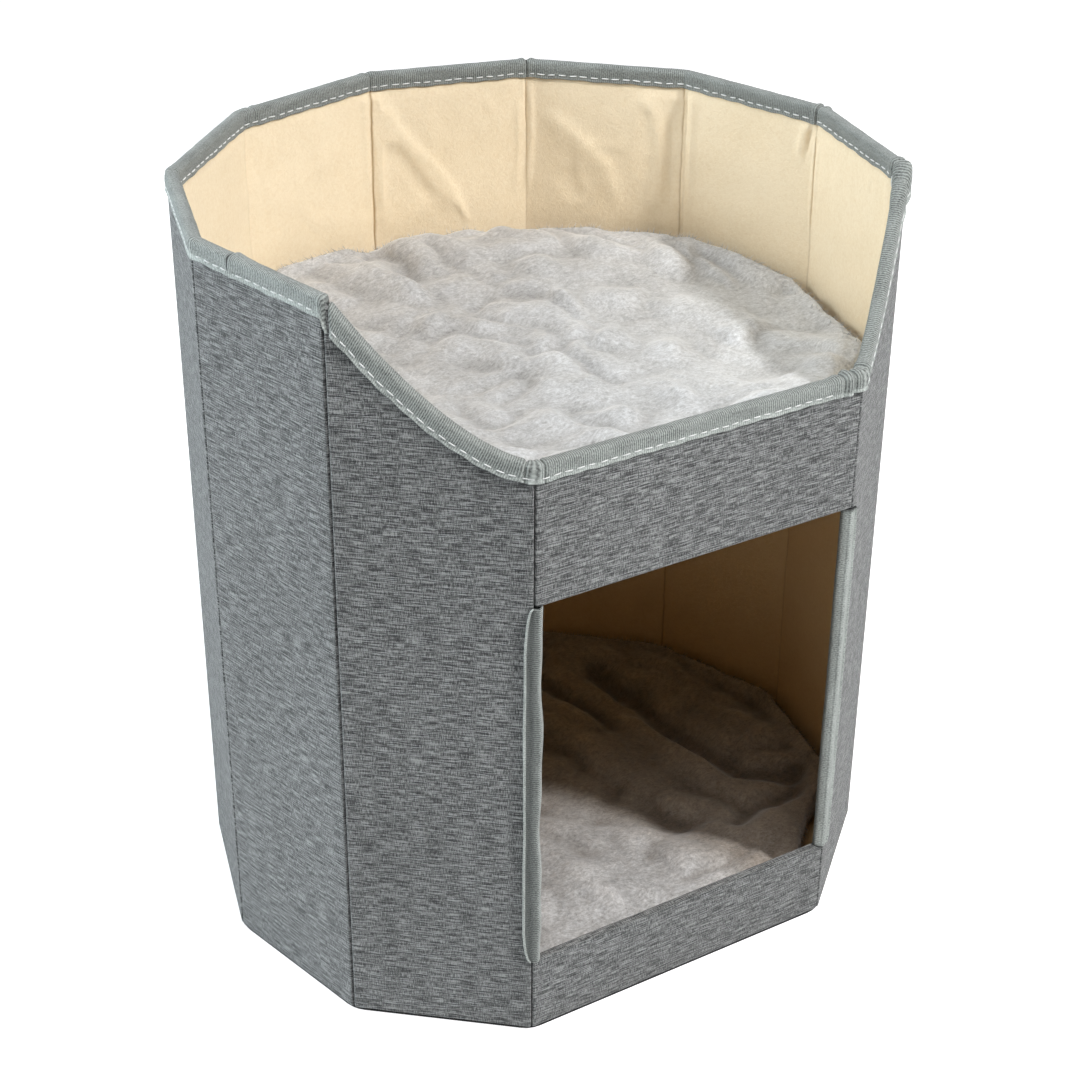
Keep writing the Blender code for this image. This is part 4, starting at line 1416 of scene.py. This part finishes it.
cushionLooks = {
    "lower": {
        "seed": 4, "broad": 0.0025, "puff": 0.0050, "small": 0.0005, "backRise": 0.0, "pileSeed": 8,
        # height of the pad along the walls, by run
        "edge": [
            (0.00, 0.0335), (0.20, 0.0345), (0.27, 0.0360), (0.32, 0.0400), (0.36, 0.0415),
            (0.42, 0.0415), (0.48, 0.0385), (0.56, 0.0355), (1.20, 0.0335),
        ],
        # rise, width left and right, then places in plan
        "lumps": [
            crease(0.0050, 0.013, 0.013, (0.095, 0.120), (0.138, 0.075), (0.152, 0.030), (0.156, -0.030),
                   (0.150, -0.065), fade=(0.05, 0.1)),
            crease(-0.0110, 0.010, 0.008, (0.108, 0.090), (0.112, 0.032), (0.113, -0.030), (0.122, -0.070),
                   (0.145, -0.091), (0.168, -0.094), fade=(0.1, 0.1)),
            crease(-0.0065, 0.009, 0.007, (0.066, 0.100), (0.075, 0.060), (0.081, 0.030), (0.083, -0.005)),
            crease(0.0040, 0.008, 0.010, (0.098, 0.030), (0.100, -0.010), (0.104, -0.050), (0.100, -0.090)),
            crease(-0.0060, 0.012, 0.012,
                   (0.030, 0.040), (0.040, -0.010), (0.048, -0.060), (0.060, -0.103), (0.070, -0.128)),
            crease(-0.0050, 0.008, 0.007, (0.078, -0.122), (0.106, -0.110), (0.128, -0.106), (0.159, -0.104)),
            crease(-0.0035, 0.008, 0.010, (-0.040, -0.020), (-0.020, -0.070), (0.000, -0.110)),
        ],
    },
    "upper": {
        "seed": 11, "broad": 0.0030, "puff": 0.0090, "small": 0.0007, "backRise": 0.0070, "pileSeed": 5,
        "edge": [
            (0.30, 0.3330), (0.324, 0.3335), (0.343, 0.3345), (0.366, 0.3350), (0.397, 0.3335),
            (0.418, 0.3365), (0.445, 0.3390), (0.480, 0.3360), (0.517, 0.3350), (0.560, 0.3360),
            (0.602, 0.3365), (0.629, 0.3390), (0.656, 0.3400), (0.673, 0.3375), (0.689, 0.3320),
            (0.7076, 0.3270), (0.724, 0.3385), (0.741, 0.3420), (0.761, 0.3440), (0.781, 0.3430),
            (0.85, 0.3370), (1.2, 0.3350),
        ],
        "lumps": [
            crease(-0.0050, 0.012, 0.012, (-0.014, 0.168), (-0.012, 0.126), (-0.009, 0.082)),
            crease(-0.0045, 0.010, 0.012, (-0.062, 0.145), (-0.053, 0.110), (-0.049, 0.068)),
            crease(-0.0035, 0.010, 0.010, (0.072, 0.135), (0.078, 0.100), (0.083, 0.066)),
            crease(-0.0030, 0.009, 0.009, (-0.008, 0.076), (-0.002, 0.050), (0.002, 0.022)),
            crease(-0.0030, 0.008, 0.008, (-0.042, 0.004), (-0.036, -0.012), (-0.031, -0.030)),
        ],
    },
}


def markHollowShade(obj):
    # how far each point lies above or below the smoothed pad, from -1 to 1, for the pile's painted shade in
    # hollows and painted light on crests
    height = meshPoints(obj)[:, 2]
    first, second = numbersOf(obj.data.edges, "vertices", 2).T
    size = len(height)
    shared = np.bincount(first, minlength=size) + np.bincount(second, minlength=size)
    level = height
    for _ in range(cushion["shadeSteps"]):
        level = (np.bincount(first, level[second], size) + np.bincount(second, level[first], size)) / shared
    markPoints(obj, "hollowShade", np.clip((height - level) / cushion["shadeDepth"], -1, 1))


def buildCushion(storey, look):
    node = storey + "_cushion"
    low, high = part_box(node)
    edge = lining["inset"] + cushion["clear"]
    roughLow, roughHigh = low.z + cushion["roughFoot"], high.z - cushion["roughTop"]
    obj = roughPad(storey + "_plush_cushion", roughLow, roughHigh, edge + cushion["start"])
    swell(obj, look["seed"])
    smooth = obj.modifiers.new("smooth", "SMOOTH")
    smooth.iterations = 3
    subdivide(obj)
    points = meshPoints(obj)
    points[:, :2] *= (high.x - cushion["sideGap"]) / np.abs(points[:, 0]).max()
    foot, top = low.z + cushion["foot"], high.z + cushion["highest"] + look["backRise"]
    lowest, highest = points[:, 2].min(), np.percentile(points[:, 2], 98)
    stretch = (high.z - cushion["crown"] - low.z) / (highest - lowest)
    points[:, 2] = foot + (points[:, 2] - lowest) * stretch
    points = keepInside(rippled(points, look, low.z, high.z), edge)
    points[:, 2] = np.clip(points[:, 2], foot, top)
    setPoints(obj, points)
    subdivide(obj)
    points = keepInside(furred(obj, look["seed"]), edge - cushion["pileDepth"])
    points[:, 2] = np.maximum(points[:, 2], foot)
    setPoints(obj, points)
    markHollowShade(obj)
    finishPiece(obj, node, makePlushMaterial(storey + "Plush", plushLooks[storey]), [node])
    return obj


print("building cushions")
pads = {storey: buildCushion(storey, look) for storey, look in cushionLooks.items()}
for storey, look in cushionLooks.items():
    buildPile(pads[storey], storey, look["pileSeed"])


# carried-over pieces

print("finishing carried-over pieces")
for name, node in nodes.items():
    if node.hide_render:
        continue
    if "board" in name and "cover" not in name:
        look = boardMaterial
    elif name.startswith(("shelf_tab", "loop_patch")):
        look = hookMaterial
    elif name == "bottom_cloth":
        look = blackMaterial
    else:
        look = liningMaterial
    node.data.materials.clear()
    node.data.materials.append(look)


# floor, light and camera

stage = {
    "floorSize": 30.0, "floorHeight": -0.0002, "floorColour": (0.88, 0.88, 0.88), "floorLift": 0.70,
    "worldStrength": 0.05,
}
# name, spot, aim, size, power, colour
lamps = [
    ("keyLamp", (0.93, -1.66, 2.05), (0.0, -0.1, 0.1), 0.24, 46.0, (1.0, 1.0, 1.0)),
    ("leftLamp", (-1.8, 1.15, 1.15), (0, 0, 0.22), 1.3, 51.0, (0.86, 0.95, 1.0)),
    ("topLamp", (-0.15, -0.55, 1.55), (0, 0, 0.33), 1.1, 10.0, (1.0, 1.0, 1.0)),
    ("rightLamp", (2.2, 0.0, 0.8), (0, 0, 0.22), 1.2, 6.0, (1.0, 1.0, 1.0)),
]


def buildFloor():
    bpy.ops.mesh.primitive_plane_add(size=stage["floorSize"], location=(0, 0, stage["floorHeight"]))
    floor = bpy.context.object
    floor.name = "floor"
    material, shader = newMaterial("paleFloor", 0.9)
    shader.inputs["Base Color"].default_value = (*stage["floorColour"], 1)
    shader.inputs["Specular IOR Level"].default_value = 0.0
    # seen straight on, the floor is lifted to a white backdrop that keeps the object's shadow
    path = addNode(shader.id_data, "ShaderNodeLightPath")
    shader.inputs["Emission Color"].default_value = (1, 1, 1, 1)
    feed(shader.inputs["Emission Strength"], product(path.outputs["Is Camera Ray"], stage["floorLift"]))
    floor.data.materials.append(material)


def areaLamp(name, spot, aim, size, power, colour):
    data = bpy.data.lights.new(name, "AREA")
    data.shape = "DISK"
    data.size = size
    data.energy = power
    data.color = colour
    lamp = addObject(name, data)
    lamp.location = spot
    lamp.rotation_euler = (Vector(aim) - Vector(spot)).to_track_quat("-Z", "Y").to_euler()


def buildLight():
    world = bpy.data.worlds.new("studio")
    scene.world = world
    world.use_nodes = True
    background = world.node_tree.nodes["Background"]
    path = addNode(world.node_tree, "ShaderNodeLightPath").outputs
    seen = maths("MAXIMUM", path["Is Camera Ray"], path["Is Glossy Ray"])
    seen = maths("MAXIMUM", seen, path["Is Transmission Ray"])
    background.inputs["Color"].default_value = (1, 1, 1, 1)
    dim = stage["worldStrength"]
    feed(background.inputs["Strength"], plus(product(seen, 1.0 - dim), dim))
    for lamp in lamps:
        areaLamp(*lamp)


camera = {
    "spot": (-0.59783, -0.97881, 0.85193),
    "azimuth": -32.0365,
    "elevation": 29.6053,
    "roll": 0.4428,
    "lens": 73.10,
    "sensor": 36.0,
}


def buildCamera():
    data = bpy.data.cameras.new("photoCamera")
    data.lens = camera["lens"]
    data.sensor_width = camera["sensor"]
    data.sensor_fit = "HORIZONTAL"
    yaw, pitch, roll = (math.radians(camera[key]) for key in ("azimuth", "elevation", "roll"))
    forward = Vector((-math.sin(yaw) * math.cos(pitch), math.cos(yaw) * math.cos(pitch), -math.sin(pitch)))
    level = Vector((math.cos(yaw), math.sin(yaw), 0.0))
    upward = level.cross(forward)
    across = math.cos(roll) * level + math.sin(roll) * upward
    rise = -math.sin(roll) * level + math.cos(roll) * upward
    eye = addObject("photoCamera", data)
    turn = Matrix((across, rise, -forward)).transposed().to_4x4()
    eye.matrix_world = Matrix.Translation(camera["spot"]) @ turn
    scene.camera = eye


print("building stage")
buildFloor()
buildLight()
buildCamera()
scene.view_settings.view_transform = "Standard"
